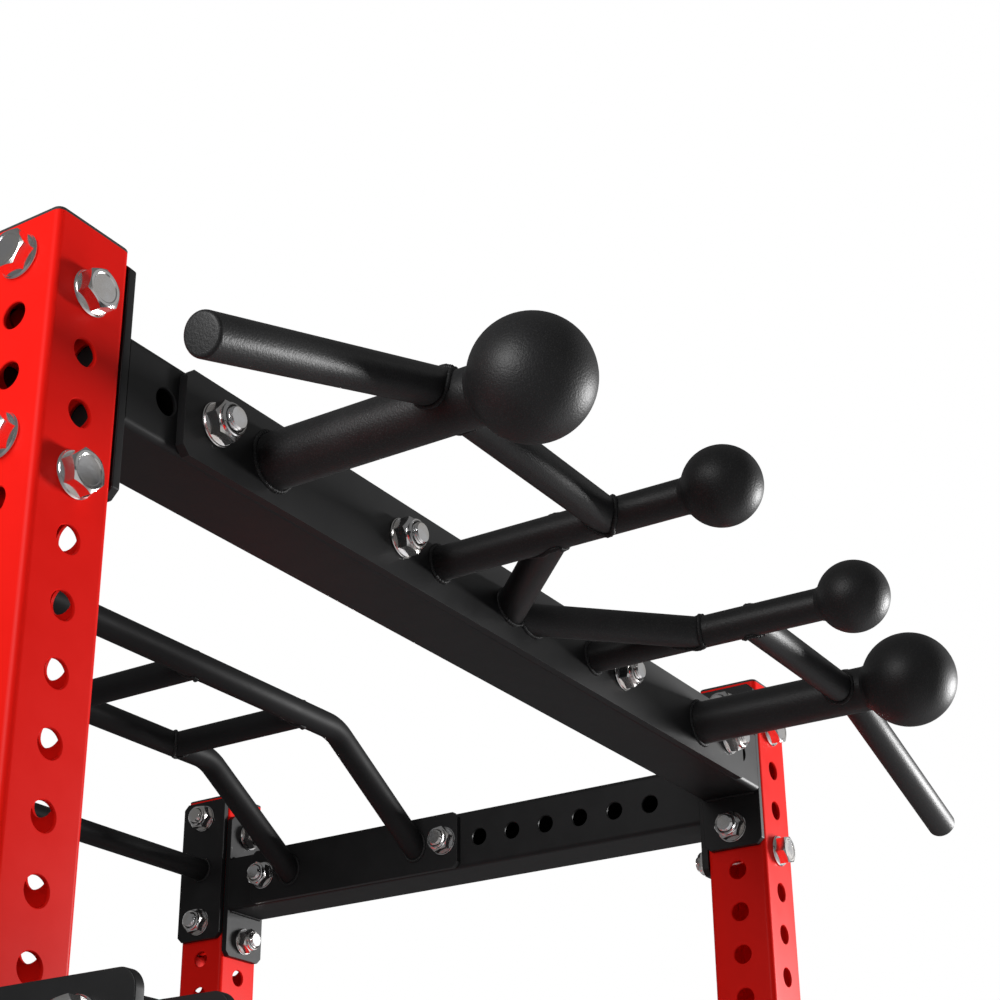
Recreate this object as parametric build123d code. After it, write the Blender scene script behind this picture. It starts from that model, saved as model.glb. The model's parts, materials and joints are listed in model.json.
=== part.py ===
from build123d import *
import math
import os

# Power cage: four hole-punched square uprights joined by bolted crossmembers, with a globe pull-up
# frame on the front, a multi-grip bar and a straight bar on top, swinging bar hooks on the front
# uprights and a pair of pin-and-pipe safeties inside. Millimetres, +Z up, origin on the floor
# midway between the four uprights, -Y is the front where the lifter walks in.

# ---- cage ----
cage_width = 1250.0          # outside faces of the uprights, left to right
cage_depth = 900.0           # outside faces of the uprights, front to back
upright_length = 2260.0
tube_size = 75.0
tube_wall = 3.0
tube_corner = 6.0
hole_dia = 22.0
hole_pitch = 50.0
side_hole_first = 30.0       # first hole of the left/right faces, from the top of the upright

# ---- feet and caps ----
foot_thickness = 8.0
foot_side_margin = 37.5      # foot plate beyond the tube, left and right
foot_end_margin = 12.5       # foot plate beyond the tube, front and back
foot_corner = 10.0
anchor_margin = 16.5         # anchor hole centre from the tube's face
anchor_hole_dia = 14.0
cap_thickness = 3.0
cap_plug_depth = 12.0
cap_plug_wall = 3.0
cap_plug_chamfer = 2.0
cap_gap = 0.2

# ---- bolted end plates ----
end_plate_thickness = 8.0
end_plate_margin = 25.0      # end plate beyond its bolts
end_plate_chamfer = 7.0
end_plate_steps = 3          # hole pitches between the two bolts of an end plate
cross_edge_gap = 42.0        # end plate to the first hole of the front crossmember

# ---- bolts and nuts, M20 with flanges ----
bolt_gap = 1.0               # bolt to the side of its hole
flange_width = 8.5           # flange beyond the shank
flange_thickness = 3.0
hex_wall = 5.0               # flats beyond the shank
head_height = 12.0
nut_height = 16.0
bolt_tail = 4.0              # thread showing past the nut
thread_gap = 0.05

# ---- globe pull-up frame ----
globe_plate_margin = 37.0    # plate beyond its outer bolts
globe_plate_height = 75.0
globe_plate_thickness = 8.0
globe_plate_drop = 2.0       # the plate hangs this far below the middle of the crossmember
globe_inner_step = 4         # inner bolts, in hole pitches from the middle
globe_outer_skip = 1         # holes of the crossmember's row left free outside the outer bolts
grip_dia = 32.0
outer_arm_dia = 48.0
outer_arm_inset = 70.0       # outer arm inboard of the outer bolt
outer_ball_dia = 100.0
outer_ball_reach = 254.0     # ball centre in front of the crossmember's face
inner_arm_inset = 60.5       # inner arm inboard of the inner bolt
inner_ball_dia = 70.0
inner_ball_reach = 292.0
strut_root_x = 18.5
strut_angle = 45.0
cross_grip_reach = 183.0
handle_reach = 178.0
handle_run = 280.0           # handle tip outboard of its arm
handle_slope = 18.3          # degrees down, outwards
handle_rise = 14.0           # handle axis above the arm's axis where they cross
tip_round = 3.0

# ---- multi-grip bar and straight bar ----
multigrip_steps = 6          # hole pitches between a side plate's bolts, the rear one in the last hole
multigrip_half_gap = 104.0   # each long bar from the middle of the side plates
multigrip_shoulder = 179.0   # each bend inboard of its side plate
multigrip_rise = 112.0       # level run above the middle of the side plates
multigrip_bend = 60.0
multigrip_plate_margin = 21.5
multigrip_plate_height = 74.0
rung_count = 4
rung_inset = 63.0            # outer rungs inboard of the bends
straight_bar_dia = 30.0

# ---- swinging bar hooks ----
hook_plate_thickness = 8.0
hook_plate_rise = 103.0      # plates' top edge above the lock pin
hook_plate_front = 134.0     # in front of the upright
hook_plate_tail = 35.0       # behind the upright
hook_plate_height = 220.0
hook_plate_nose = 75.0
hook_plate_toe = 30.0
hook_plate_round = 14.0
pivot_reach = 89.0           # hook pivot in front of the upright
pivot_drop = 31.0            # hook pivot below the plates' top edge
running_gap = 0.05
hook_width = 30.0
hook_boss_dia = 52.0
hook_throat = 78.0           # pivot down to the top of the shank's straight front
hook_nape = 62.4             # pivot down to the top of the shank's straight back
hook_cheek = 36.87           # degrees below level, where the shank's front leaves the boss
hook_back_inset = 2.6        # where the shank's back meets the boss, inside its rim
hook_sleeve_dia = 34.0
hook_drop = 235.0            # pivot down to the middle of the bar's seat
seat_radius = 20.0
seat_forward = 30.0          # bar seat in front of the pivot
seat_liner = 6.0
hook_lip = 30.0
hook_steel = 19.0            # steel round the seat
hook_back_setback = 30.0     # back of the shank behind the pivot
stop_drop = 75.0             # stop bar below the pivot
stop_dia = 20.0
side_gap = 0.3
lock_hole_step = 13          # which side hole takes the lock pin
pin_gap = 1.0                # lock and safety pins to the side of the upright's hole
plate_hole_gap = 0.1         # bolts and lock pin to the side of the bracket's hole
lock_knob_dia = 42.0
lock_knob_length = 26.0
lock_pin_tail = 14.0
rear_spacer_dia = 30.0
front_liner_thickness = 12.0
front_liner_margin = 14.0

# ---- safeties ----
safety_hole_step = 28        # which front hole takes the safety pin
safety_pin_tail = 15.0
safety_knob_dia = 42.0
safety_knob_length = 30.0
pipe_dia = 60.0
pipe_wall = 4.0
pipe_end_gap = 2.0
bush_length = 30.0

SIDES = {"left": -1, "right": 1}
ENDS = {"front": -1, "rear": 1}


def hole_row(first):
    """Heights of one of an upright's rows of holes, from the top one down."""
    count = int((upright_length - first - side_hole_first) / hole_pitch + 1e-6) + 1
    return [upright_length - first - hole_pitch * i for i in range(count)]


def centred_row(half_length):
    """Hole places on the pitch, both ways from the middle of a crossmember."""
    count = int(half_length / hole_pitch + 1e-6)
    return [hole_pitch * i for i in range(-count, count + 1)]


# ---- worked-out sizes ----
front_hole_first = side_hole_first + hole_pitch / 2
foot_length = tube_size + 2 * foot_side_margin
foot_width = tube_size + 2 * foot_end_margin
anchor_reach = tube_size / 2 + anchor_margin
bolt_rise = end_plate_steps * hole_pitch / 2
end_plate_height = 2 * (bolt_rise + end_plate_margin)
bolt_dia = hole_dia - 2 * bolt_gap
flange_dia = bolt_dia + 2 * flange_width
hex_across_flats = bolt_dia + 2 * hex_wall
pin_dia = hole_dia - 2 * pin_gap
nut_and_tail = flange_thickness + nut_height + bolt_tail
hook_plate_top = side_hole_first + hole_pitch * lock_hole_step - hook_plate_rise
hook_plate_back = tube_size + hook_plate_tail

# ---- worked-out places ----
top_z = foot_thickness + upright_length
upright_x = cage_width / 2 - tube_size / 2
upright_y = cage_depth / 2 - tube_size / 2
front_y = -cage_depth / 2
inner_x = cage_width / 2 - tube_size
inner_y = cage_depth / 2 - tube_size
front_cross_z = top_z - side_hole_first - bolt_rise
side_cross_z = top_z - front_hole_first - bolt_rise
lower_rear_z = foot_thickness + hole_row(side_hole_first)[-1] + bolt_rise
lower_side_z = foot_thickness + hole_row(front_hole_first)[-1] + bolt_rise
row_run = 2 * (inner_x - end_plate_thickness)
side_run = 2 * (inner_y - end_plate_thickness)
front_row = centred_row(row_run / 2 - cross_edge_gap)
side_row = centred_row(inner_y - hole_pitch)
grip_length = tube_size + end_plate_thickness
globe_z = front_cross_z - globe_plate_drop
globe_y = front_y - globe_plate_thickness
pivot_y = front_y - pivot_reach
pivot_z = top_z - hook_plate_top - pivot_drop
lock_z = top_z - side_hole_first - hole_pitch * lock_hole_step
safety_z = top_z - front_hole_first - hole_pitch * safety_hole_step


def rod(start, end, radius):
    """Solid round bar between two points."""
    a, b = Vector(*start), Vector(*end)
    plane = Plane(origin=a, z_dir=b - a)
    return extrude(plane * Circle(radius), (b - a).length)


def square_tube(length):
    """Square tube with rounded corners along +Z from the origin."""
    outer = RectangleRounded(tube_size, tube_size, tube_corner)
    inner_size = tube_size - 2 * tube_wall
    inner = RectangleRounded(inner_size, inner_size, tube_corner - tube_wall)
    return extrude(outer - inner, length)


def through_hole(direction, place, dia=hole_dia):
    """Cutter for a hole right through a tube, along X or Y."""
    turn = Rot(0, 90, 0) if direction == "x" else Rot(90, 0, 0)
    return Pos(*place) * turn * Cylinder(dia / 2, tube_size + 20)


def make_upright():
    """One upright from z = 0, with staggered hole rows on its two pairs of faces."""
    cutters = [through_hole("x", (0, 0, z)) for z in hole_row(side_hole_first)]
    cutters += [through_hole("y", (0, 0, z)) for z in hole_row(front_hole_first)]
    return square_tube(upright_length) - cutters


def make_foot():
    """Foot plate under an upright, with an anchor hole each side of it."""
    foot = extrude(RectangleRounded(foot_length, foot_width, foot_corner), foot_thickness)
    cutters = [Pos(s * anchor_reach, 0, 0) * Cylinder(anchor_hole_dia / 2, 4 * foot_thickness)
               for s in (-1, 1)]
    return foot - cutters


def make_cap():
    """Push-in plastic cap: a thin lid with a hollow plug below it, from z = 0 up."""
    lid = extrude(RectangleRounded(tube_size, tube_size, tube_corner), cap_thickness)
    size = tube_size - 2 * tube_wall - 2 * cap_gap
    plug = Rectangle(size, size) - Rectangle(size - 2 * cap_plug_wall, size - 2 * cap_plug_wall)
    plug_corners = extrude(plug, -cap_plug_depth)
    plug_corners = chamfer(plug_corners.edges().filter_by(Axis.Z).sort_by(
        lambda e: -e.center().X ** 2 - e.center().Y ** 2)[:4], cap_plug_chamfer)
    return lid + plug_corners


def make_end_plate():
    """End plate in the XY plane, long side on Y, with two bolt holes, from z = 0 up."""
    outline = chamfer(Rectangle(tube_size, end_plate_height).vertices(), end_plate_chamfer)
    holes = [Pos(0, s * bolt_rise) * Circle(hole_dia / 2) for s in (-1, 1)]
    return extrude(outline - holes, end_plate_thickness)


def make_bolt(length):
    """Flanged hex bolt: the flange seats on z = 0, the shank runs up +Z."""
    shank = extrude(Circle(bolt_dia / 2), length)
    shank = chamfer(shank.edges().sort_by(Axis.Z)[-1], 1.5)
    flange = extrude(Circle(flange_dia / 2), -flange_thickness)
    head = Pos(0, 0, -flange_thickness) * extrude(
        RegularPolygon(hex_across_flats / 2, 6, major_radius=False), -head_height)
    return shank + flange + head


def make_nut():
    """Flanged lock nut, flange seated on z = 0."""
    flange = extrude(Circle(flange_dia / 2), flange_thickness)
    body = Pos(0, 0, flange_thickness) * extrude(
        RegularPolygon(hex_across_flats / 2, 6, major_radius=False), nut_height)
    return flange + body - Cylinder(bolt_dia / 2 + thread_gap, 4 * nut_height)


def facing(x, y, z, direction):
    """Location at a point whose local Z looks along a signed row direction."""
    turns = {(1, 0, 0): Rot(0, 90, 0), (-1, 0, 0): Rot(0, -90, 0),
             (0, 1, 0): Rot(-90, 0, 0), (0, -1, 0): Rot(90, 0, 0)}
    return Pos(x, y, z) * turns[direction]


def bolted(place, direction, grip, bolt, nut):
    """A bolt with its head seated at place, and its nut at the far side of the grip."""
    step = Vector(*direction) * grip
    far = (place[0] + step.X, place[1] + step.Y, place[2] + step.Z)
    return facing(*place, direction) * bolt, facing(*far, direction) * nut


def clip(shape, tools):
    """Cut shape back from the solids that it is welded to, keeping the largest piece."""
    cut = shape - tools
    return max(cut.solids(), key=lambda s: s.volume)


nodes = {}


def add(name, shapes):
    """Keep one node, as a single solid or a group of separate solids."""
    group = shapes if isinstance(shapes, list) else [shapes]
    solids = [solid for shape in group for solid in shape.solids()]
    nodes[name] = solids


# ---- uprights, feet and caps ----
upright, foot, cap = make_upright(), make_foot(), make_cap()
feet, caps = [], []
for end, sy in ENDS.items():
    for side, sx in SIDES.items():
        place = Pos(sx * upright_x, sy * upright_y, 0)
        add(f"upright_{end}_{side}", place * Pos(0, 0, foot_thickness) * upright)
        feet.append(place * foot)
        caps.append(place * Pos(0, 0, top_z) * cap)
add("foot_plates", feet)
add("upright_caps", caps)

# ---- crossmembers, each a tube or bar between two bolted end plates ----
end_plate = make_end_plate()
bolt, nut = make_bolt(grip_length + nut_and_tail), make_nut()
frame_bolts, frame_nuts = [], []


def plates_across(y, z):
    """End plates on the inner left and right faces of two uprights, with their bolts."""
    plates = []
    for sx in (-1, 1):
        turn = Rot(0, 90, 0) * Rot(0, 0, 90)
        x = inner_x if sx > 0 else -inner_x + end_plate_thickness
        plates.append(Pos(x - end_plate_thickness, y, z) * turn * end_plate)
        for rise in (-bolt_rise, bolt_rise):
            start = (sx * cage_width / 2, y, z + rise)
            b, n = bolted(start, (-sx, 0, 0), grip_length, bolt, nut)
            frame_bolts.append(b)
            frame_nuts.append(n)
    return plates


def plates_along(x, z):
    """End plates on the inner front and rear faces of two uprights, with their bolts."""
    plates = []
    for sy in (-1, 1):
        y = inner_y if sy > 0 else -inner_y + end_plate_thickness
        plates.append(Pos(x, y, z) * Rot(90, 0, 0) * end_plate)
        for rise in (-bolt_rise, bolt_rise):
            start = (x, sy * cage_depth / 2, z + rise)
            b, n = bolted(start, (0, -sy, 0), grip_length, bolt, nut)
            frame_bolts.append(b)
            frame_nuts.append(n)
    return plates


def row_tube(y, z):
    """Square tube from end plate to end plate, left to right."""
    return Pos(-row_run / 2, y, z) * Rot(0, 90, 0) * square_tube(row_run)


def side_tube(x, z):
    """Square tube from end plate to end plate, front to back."""
    return Pos(x, side_run / 2, z) * Rot(90, 0, 0) * square_tube(side_run)


front_holes = [through_hole("y", (x, -upright_y, front_cross_z)) for x in front_row]
add("front_crossmember", row_tube(-upright_y, front_cross_z) - front_holes)
add("front_crossmember_plates", plates_across(-upright_y, front_cross_z))

add("straight_pullup_bar", rod((-row_run / 2, upright_y, front_cross_z),
                               (row_run / 2, upright_y, front_cross_z), straight_bar_dia / 2))
add("straight_bar_plates", plates_across(upright_y, front_cross_z))

add("lower_rear_crossmember", row_tube(upright_y, lower_rear_z))
add("lower_rear_plates", plates_across(upright_y, lower_rear_z))

for side, sx in SIDES.items():
    side_holes = [through_hole("x", (sx * upright_x, y, side_cross_z)) for y in side_row]
    add(f"{side}_crossmember", side_tube(sx * upright_x, side_cross_z) - side_holes)
    add(f"{side}_crossmember_plates", plates_along(sx * upright_x, side_cross_z))
    add(f"lower_{side}_crossmember", side_tube(sx * upright_x, lower_side_z))
    add(f"lower_{side}_plates", plates_along(sx * upright_x, lower_side_z))
add("frame_bolts", frame_bolts)
add("frame_nuts", frame_nuts)

# ---- globe pull-up frame ----
globe_outer_x = front_row[-1 - globe_outer_skip]
globe_inner_x = globe_inner_step * hole_pitch
globe_bolt_x = [s * x for x in (globe_inner_x, globe_outer_x) for s in (-1, 1)]
outer_arm_x = globe_outer_x - outer_arm_inset
inner_arm_x = globe_inner_x - inner_arm_inset
handle_tip_x = outer_arm_x + handle_run
globe_grip = tube_size + globe_plate_thickness
globe_bolt = make_bolt(globe_grip + nut_and_tail)
globe_plate_length = 2 * (globe_outer_x + globe_plate_margin)
globe_outline = chamfer(Rectangle(globe_plate_length, globe_plate_height).vertices(), end_plate_chamfer)
globe_holes = [Pos(x, globe_plate_drop) * Circle(hole_dia / 2) for x in globe_bolt_x]
add("globe_mount_plate",
    Pos(0, front_y, globe_z) * Rot(90, 0, 0) * extrude(globe_outline - globe_holes, globe_plate_thickness))
globe_pairs = [bolted((x, front_y + tube_size, front_cross_z), (0, -1, 0), globe_grip, globe_bolt, nut)
               for x in globe_bolt_x]
add("globe_bolts", [pair[0] for pair in globe_pairs])
add("globe_nuts", [pair[1] for pair in globe_pairs])

struts, cross_grips = [], []
for side, sx in SIDES.items():
    outer_ball_y, inner_ball_y = front_y - outer_ball_reach, front_y - inner_ball_reach
    outer_ball = Pos(sx * outer_arm_x, outer_ball_y, globe_z) * Sphere(outer_ball_dia / 2)
    inner_ball = Pos(sx * inner_arm_x, inner_ball_y, globe_z) * Sphere(inner_ball_dia / 2)
    outer_axis = rod((sx * outer_arm_x, globe_y, globe_z), (sx * outer_arm_x, outer_ball_y, globe_z),
                     outer_arm_dia / 2)
    inner_axis = rod((sx * inner_arm_x, globe_y, globe_z), (sx * inner_arm_x, inner_ball_y, globe_z),
                     grip_dia / 2)
    add(f"large_globe_{side}", outer_ball)
    add(f"small_globe_{side}", inner_ball)
    add(f"outer_arm_{side}", clip(outer_axis, outer_ball))
    add(f"inner_arm_{side}", clip(inner_axis, inner_ball))
    strut_run = inner_arm_x - strut_root_x
    strut_end_y = globe_y - strut_run / math.tan(math.radians(strut_angle))
    strut_back_y = globe_y + grip_dia / math.tan(math.radians(strut_angle))
    strut = rod((sx * (strut_root_x - grip_dia), strut_back_y, globe_z),
                (sx * inner_arm_x, strut_end_y, globe_z), grip_dia / 2)
    behind = Pos(0, globe_y + cage_depth / 2, globe_z) * Box(cage_width, cage_depth, tube_size * 2)
    beyond = Pos(-sx * cage_width / 2, globe_y, globe_z) * Box(cage_width, cage_depth, tube_size * 2)
    struts.append(clip(strut, [inner_axis, behind, beyond]))
    grip_y = front_y - cross_grip_reach
    cross_grip = rod((sx * inner_arm_x, grip_y, globe_z), (sx * outer_arm_x, grip_y, globe_z), grip_dia / 2)
    cross_grips.append(clip(cross_grip, [inner_axis, outer_axis]))
    handle_y = front_y - handle_reach
    fall = (handle_tip_x - outer_arm_x) * math.tan(math.radians(handle_slope))
    handle = rod((sx * outer_arm_x, handle_y, globe_z + handle_rise),
                 (sx * handle_tip_x, handle_y, globe_z + handle_rise - fall), grip_dia / 2)
    tip_edges = handle.edges().filter_by(GeomType.CIRCLE).sort_by(Axis.X)
    handle = fillet(tip_edges[-1] if sx > 0 else tip_edges[0], tip_round)
    add(f"angled_handle_{side}", clip(handle, outer_axis))
add("centre_struts", struts)
add("cross_grips", cross_grips)

# ---- multi-grip bar between the side crossmembers ----
multigrip_plate_x = inner_x - end_plate_thickness
multigrip_z = side_cross_z + multigrip_rise
multigrip_half_run = multigrip_plate_x - multigrip_shoulder
multigrip_bolt_half = multigrip_steps * hole_pitch / 2
multigrip_y = side_row[-1] - multigrip_bolt_half
multigrip_plate_length = 2 * (multigrip_bolt_half + multigrip_plate_margin)
rung_reach = multigrip_half_run - rung_inset
rung_x = [rung_reach * (2 * i / (rung_count - 1) - 1) for i in range(rung_count)]
multigrip_plates, multigrip_bolts, multigrip_nuts = [], [], []
for side, sx in SIDES.items():
    outline = chamfer(Rectangle(multigrip_plate_length, multigrip_plate_height).vertices(),
                      end_plate_chamfer)
    holes = [Pos(s * multigrip_bolt_half, 0) * Circle(hole_dia / 2) for s in (-1, 1)]
    flat = extrude(outline - holes, end_plate_thickness)
    x = sx * inner_x if sx < 0 else inner_x - end_plate_thickness
    multigrip_plates.append(Pos(x, multigrip_y, side_cross_z) * Rot(0, 90, 0) * Rot(0, 0, 90) * flat)
    for s in (-1, 1):
        start = (sx * cage_width / 2, multigrip_y + s * multigrip_bolt_half, side_cross_z)
        b, n = bolted(start, (-sx, 0, 0), grip_length, bolt, nut)
        multigrip_bolts.append(b)
        multigrip_nuts.append(n)
add("multigrip_plates", multigrip_plates)
add("multigrip_bolts", multigrip_bolts)
add("multigrip_nuts", multigrip_nuts)

slope = multigrip_rise / multigrip_shoulder
past = grip_dia              # each bar starts inside its plate, and is trimmed at the plate's face
for end, sy in ENDS.items():
    y = multigrip_y + sy * multigrip_half_gap
    path = FilletPolyline((-multigrip_plate_x - past, y, side_cross_z - past * slope),
                          (-multigrip_half_run, y, multigrip_z),
                          (multigrip_half_run, y, multigrip_z),
                          (multigrip_plate_x + past, y, side_cross_z - past * slope),
                          radius=multigrip_bend)
    section = Plane(origin=path @ 0, z_dir=path % 0) * Circle(grip_dia / 2)
    bar = sweep(section, path)
    inside = Pos(0, y, side_cross_z) * Box(2 * multigrip_plate_x, 4 * grip_dia, 4 * cage_width)
    add(f"multigrip_bar_{end}", bar & inside)
rungs = []
for x in rung_x:
    rung = rod((x, multigrip_y - multigrip_half_gap, multigrip_z),
               (x, multigrip_y + multigrip_half_gap, multigrip_z), grip_dia / 2)
    beside = [rod((x - grip_dia, y, multigrip_z), (x + grip_dia, y, multigrip_z), grip_dia / 2)
              for y in (multigrip_y - multigrip_half_gap, multigrip_y + multigrip_half_gap)]
    rungs.append(clip(rung, beside))
add("multigrip_rungs", rungs)

# ---- swinging bar hooks on the front uprights ----
hook_grip = tube_size + 2 * hook_plate_thickness
hook_bolt = make_bolt(hook_grip + nut_and_tail)
spacer_y = front_y + tube_size + rear_spacer_dia / 2
spacer_z = pivot_z
stop_y = pivot_y + hook_back_setback + side_gap + stop_dia / 2
stop_z = pivot_z - stop_drop
bracket_plates, bracket_liners, bracket_spacers, bracket_bolts, bracket_nuts = [], [], [], [], []


def bracket_outline():
    """Side plate outline in the YZ plane, as (forward, up) from the upright's front face and top."""
    top = -hook_plate_top
    points = [(hook_plate_front, top), (-hook_plate_back, top), (-hook_plate_back, top - hook_plate_height),
              (hook_plate_toe, top - hook_plate_height), (hook_plate_front, top - hook_plate_nose)]
    face = make_face(Polyline(*points, close=True))
    return fillet(face.vertices(), hook_plate_round)


def hook_outline():
    """Hook outline in the YZ plane, as (forward, up) from the pivot, with its bar seat open."""
    seat = seat_radius + seat_liner
    front = seat_forward + seat + hook_steel
    bottom = -hook_drop - seat - hook_steel
    mouth = -hook_drop + hook_lip
    boss = hook_boss_dia / 2
    cheek = math.radians(hook_cheek)
    points = [(boss * math.cos(cheek), -boss * math.sin(cheek)), (seat_forward - seat, -hook_throat),
              (seat_forward - seat, mouth), (front, mouth), (front, bottom), (-hook_back_setback, bottom),
              (-hook_back_setback, -hook_nape), (hook_back_inset - boss, 0)]
    blank = make_face(Polyline(*points, close=True))
    lip_and_heel = [v for v in blank.vertices() if v.Y < mouth + 1 and v.X != seat_forward - seat]
    blank = fillet([v for v in lip_and_heel if v.Y > bottom + 1], hook_steel / 2 - 1)
    blank = fillet([v for v in blank.vertices() if v.Y < bottom + 1], seat)
    slot = Pos(seat_forward, -hook_drop) * Circle(seat)
    slot += Pos(seat_forward, -hook_drop + hook_lip) * Rectangle(2 * seat, 2 * hook_lip)
    return blank + Circle(boss) - slot


def liner_outline():
    """Plastic liner of the bar seat, a thick U."""
    seat = seat_radius + seat_liner
    outer = Pos(seat_forward, -hook_drop) * Circle(seat)
    outer += Pos(seat_forward, -hook_drop + hook_lip / 2) * Rectangle(2 * seat, hook_lip)
    inner = Pos(seat_forward, -hook_drop) * Circle(seat_radius)
    inner += Pos(seat_forward, -hook_drop + hook_lip) * Rectangle(2 * seat_radius, 2 * hook_lip)
    return outer - inner


# The outlines are drawn as (forward, up); this plane lays them on the row's -Y and +Z.
def side_plane(x, y, z):
    """Plane whose X is forward (-Y of the row), whose Y is up, at a given point."""
    return Plane(origin=(x, y, z), x_dir=(0, -1, 0), z_dir=(-1, 0, 0))


for side, sx in SIDES.items():
    x_mid = sx * upright_x
    for face_x in (x_mid - tube_size / 2 - hook_plate_thickness, x_mid + tube_size / 2):
        blank = side_plane(face_x + hook_plate_thickness, front_y, top_z) * bracket_outline()
        plate = extrude(blank, hook_plate_thickness)
        cuts = [through_hole("x", (face_x, pivot_y, pivot_z), bolt_dia + 2 * plate_hole_gap),
                through_hole("x", (face_x, spacer_y, spacer_z), bolt_dia + 2 * plate_hole_gap),
                through_hole("x", (face_x, -upright_y, lock_z), pin_dia + 2 * plate_hole_gap)]
        bracket_plates.append(plate - cuts)

    liner_height = hook_plate_height - 2 * front_liner_margin
    liner_z = top_z - hook_plate_top - hook_plate_height / 2
    bracket_liners.append(Pos(x_mid, front_y - front_liner_thickness / 2, liner_z) * Box(
        tube_size, front_liner_thickness, liner_height))

    spacer = rod((x_mid - tube_size / 2, spacer_y, spacer_z), (x_mid + tube_size / 2, spacer_y, spacer_z),
                 rear_spacer_dia / 2)
    spacer -= through_hole("x", (x_mid, spacer_y, spacer_z), bolt_dia + 2 * thread_gap)
    stop = rod((x_mid - tube_size / 2, stop_y, stop_z), (x_mid + tube_size / 2, stop_y, stop_z), stop_dia / 2)
    bracket_spacers += [spacer, stop]

    for y, z in ((pivot_y, pivot_z), (spacer_y, spacer_z)):
        start = (x_mid + sx * hook_grip / 2, y, z)
        b, n = bolted(start, (-sx, 0, 0), hook_grip, hook_bolt, nut)
        bracket_bolts.append(b)
        bracket_nuts.append(n)

    hook_plane = side_plane(x_mid + hook_width / 2, pivot_y, pivot_z)
    body = extrude(hook_plane * hook_outline(), hook_width)
    half_sleeve = tube_size / 2 - side_gap
    body += rod((x_mid - half_sleeve, pivot_y, pivot_z), (x_mid + half_sleeve, pivot_y, pivot_z),
                hook_sleeve_dia / 2)
    body -= through_hole("x", (x_mid, pivot_y, pivot_z), bolt_dia + 2 * running_gap)
    add(f"bar_hook_{side}", body)
    add(f"bar_hook_liner_{side}", extrude(hook_plane * liner_outline(), hook_width))

    out_x = x_mid + sx * (hook_grip / 2 + side_gap)
    tip_x = x_mid - sx * (hook_grip / 2 + lock_pin_tail)
    pin = rod((tip_x, -upright_y, lock_z), (out_x, -upright_y, lock_z), pin_dia / 2)
    knob = rod((out_x, -upright_y, lock_z), (out_x + sx * lock_knob_length, -upright_y, lock_z),
               lock_knob_dia / 2)
    add(f"hook_lock_pin_{side}", pin + knob)
add("hook_bracket_plates", bracket_plates)
add("hook_bracket_liners", bracket_liners)
add("hook_bracket_spacers", bracket_spacers)
add("bracket_bolts", bracket_bolts)
add("bracket_nuts", bracket_nuts)

# ---- pin-and-pipe safeties ----
for side, sx in SIDES.items():
    x = sx * upright_x
    half_pipe = inner_y - pipe_end_gap
    pipe = rod((x, -half_pipe, safety_z), (x, half_pipe, safety_z), pipe_dia / 2)
    pipe -= rod((x, -half_pipe, safety_z), (x, half_pipe, safety_z), pipe_dia / 2 - pipe_wall)
    add(f"safety_pipe_{side}", pipe)
    bushes = []
    for sy in (-1, 1):
        ends = ((x, sy * half_pipe, safety_z), (x, sy * (half_pipe - bush_length), safety_z))
        bush = rod(*ends, pipe_dia / 2 - pipe_wall) - rod(*ends, pin_dia / 2 + running_gap)
        bushes.append(bush)
    add(f"safety_pipe_bushes_{side}", bushes)
    head_y = front_y - side_gap
    pin = rod((x, cage_depth / 2 + safety_pin_tail, safety_z), (x, head_y, safety_z), pin_dia / 2)
    knob = rod((x, head_y, safety_z), (x, head_y - safety_knob_length, safety_z), safety_knob_dia / 2)
    add(f"safety_pin_{side}", pin + knob)

# ---- write one STEP per node ----
os.makedirs("parts", exist_ok=True)
for name, solids in nodes.items():
    shape = solids[0] if len(solids) == 1 else Compound(solids)
    export_step(shape, f"parts/{name}.step")
print(len(nodes), "nodes,", sum(len(s) for s in nodes.values()), "solids")
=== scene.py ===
import json
import logging
import math
from collections.abc import Callable, Iterable, Iterator, Mapping, Sequence
from contextlib import contextmanager
from dataclasses import dataclass, field
from enum import Enum

import bmesh
import bpy
import numpy as np
from mathutils import Matrix, Vector

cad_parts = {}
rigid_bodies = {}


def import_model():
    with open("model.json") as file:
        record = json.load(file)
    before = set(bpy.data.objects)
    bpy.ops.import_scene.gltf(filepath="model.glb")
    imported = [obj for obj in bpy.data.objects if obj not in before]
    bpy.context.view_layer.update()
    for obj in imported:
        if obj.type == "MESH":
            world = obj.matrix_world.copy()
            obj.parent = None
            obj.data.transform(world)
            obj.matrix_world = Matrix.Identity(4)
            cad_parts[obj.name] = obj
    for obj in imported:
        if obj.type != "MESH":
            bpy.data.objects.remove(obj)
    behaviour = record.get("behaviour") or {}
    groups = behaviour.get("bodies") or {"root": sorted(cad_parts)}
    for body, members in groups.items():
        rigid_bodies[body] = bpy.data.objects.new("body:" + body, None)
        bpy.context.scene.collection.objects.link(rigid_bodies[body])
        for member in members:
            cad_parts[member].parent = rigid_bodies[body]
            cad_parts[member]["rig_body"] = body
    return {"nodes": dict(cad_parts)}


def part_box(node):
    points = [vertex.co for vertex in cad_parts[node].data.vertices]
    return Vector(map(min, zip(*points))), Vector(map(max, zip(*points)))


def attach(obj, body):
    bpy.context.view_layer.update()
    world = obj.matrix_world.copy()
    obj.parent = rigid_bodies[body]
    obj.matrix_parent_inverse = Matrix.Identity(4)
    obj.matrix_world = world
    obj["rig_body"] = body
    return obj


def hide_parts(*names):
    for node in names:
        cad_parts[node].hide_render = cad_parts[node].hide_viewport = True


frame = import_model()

log = logging.getLogger("power_cage")

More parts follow.
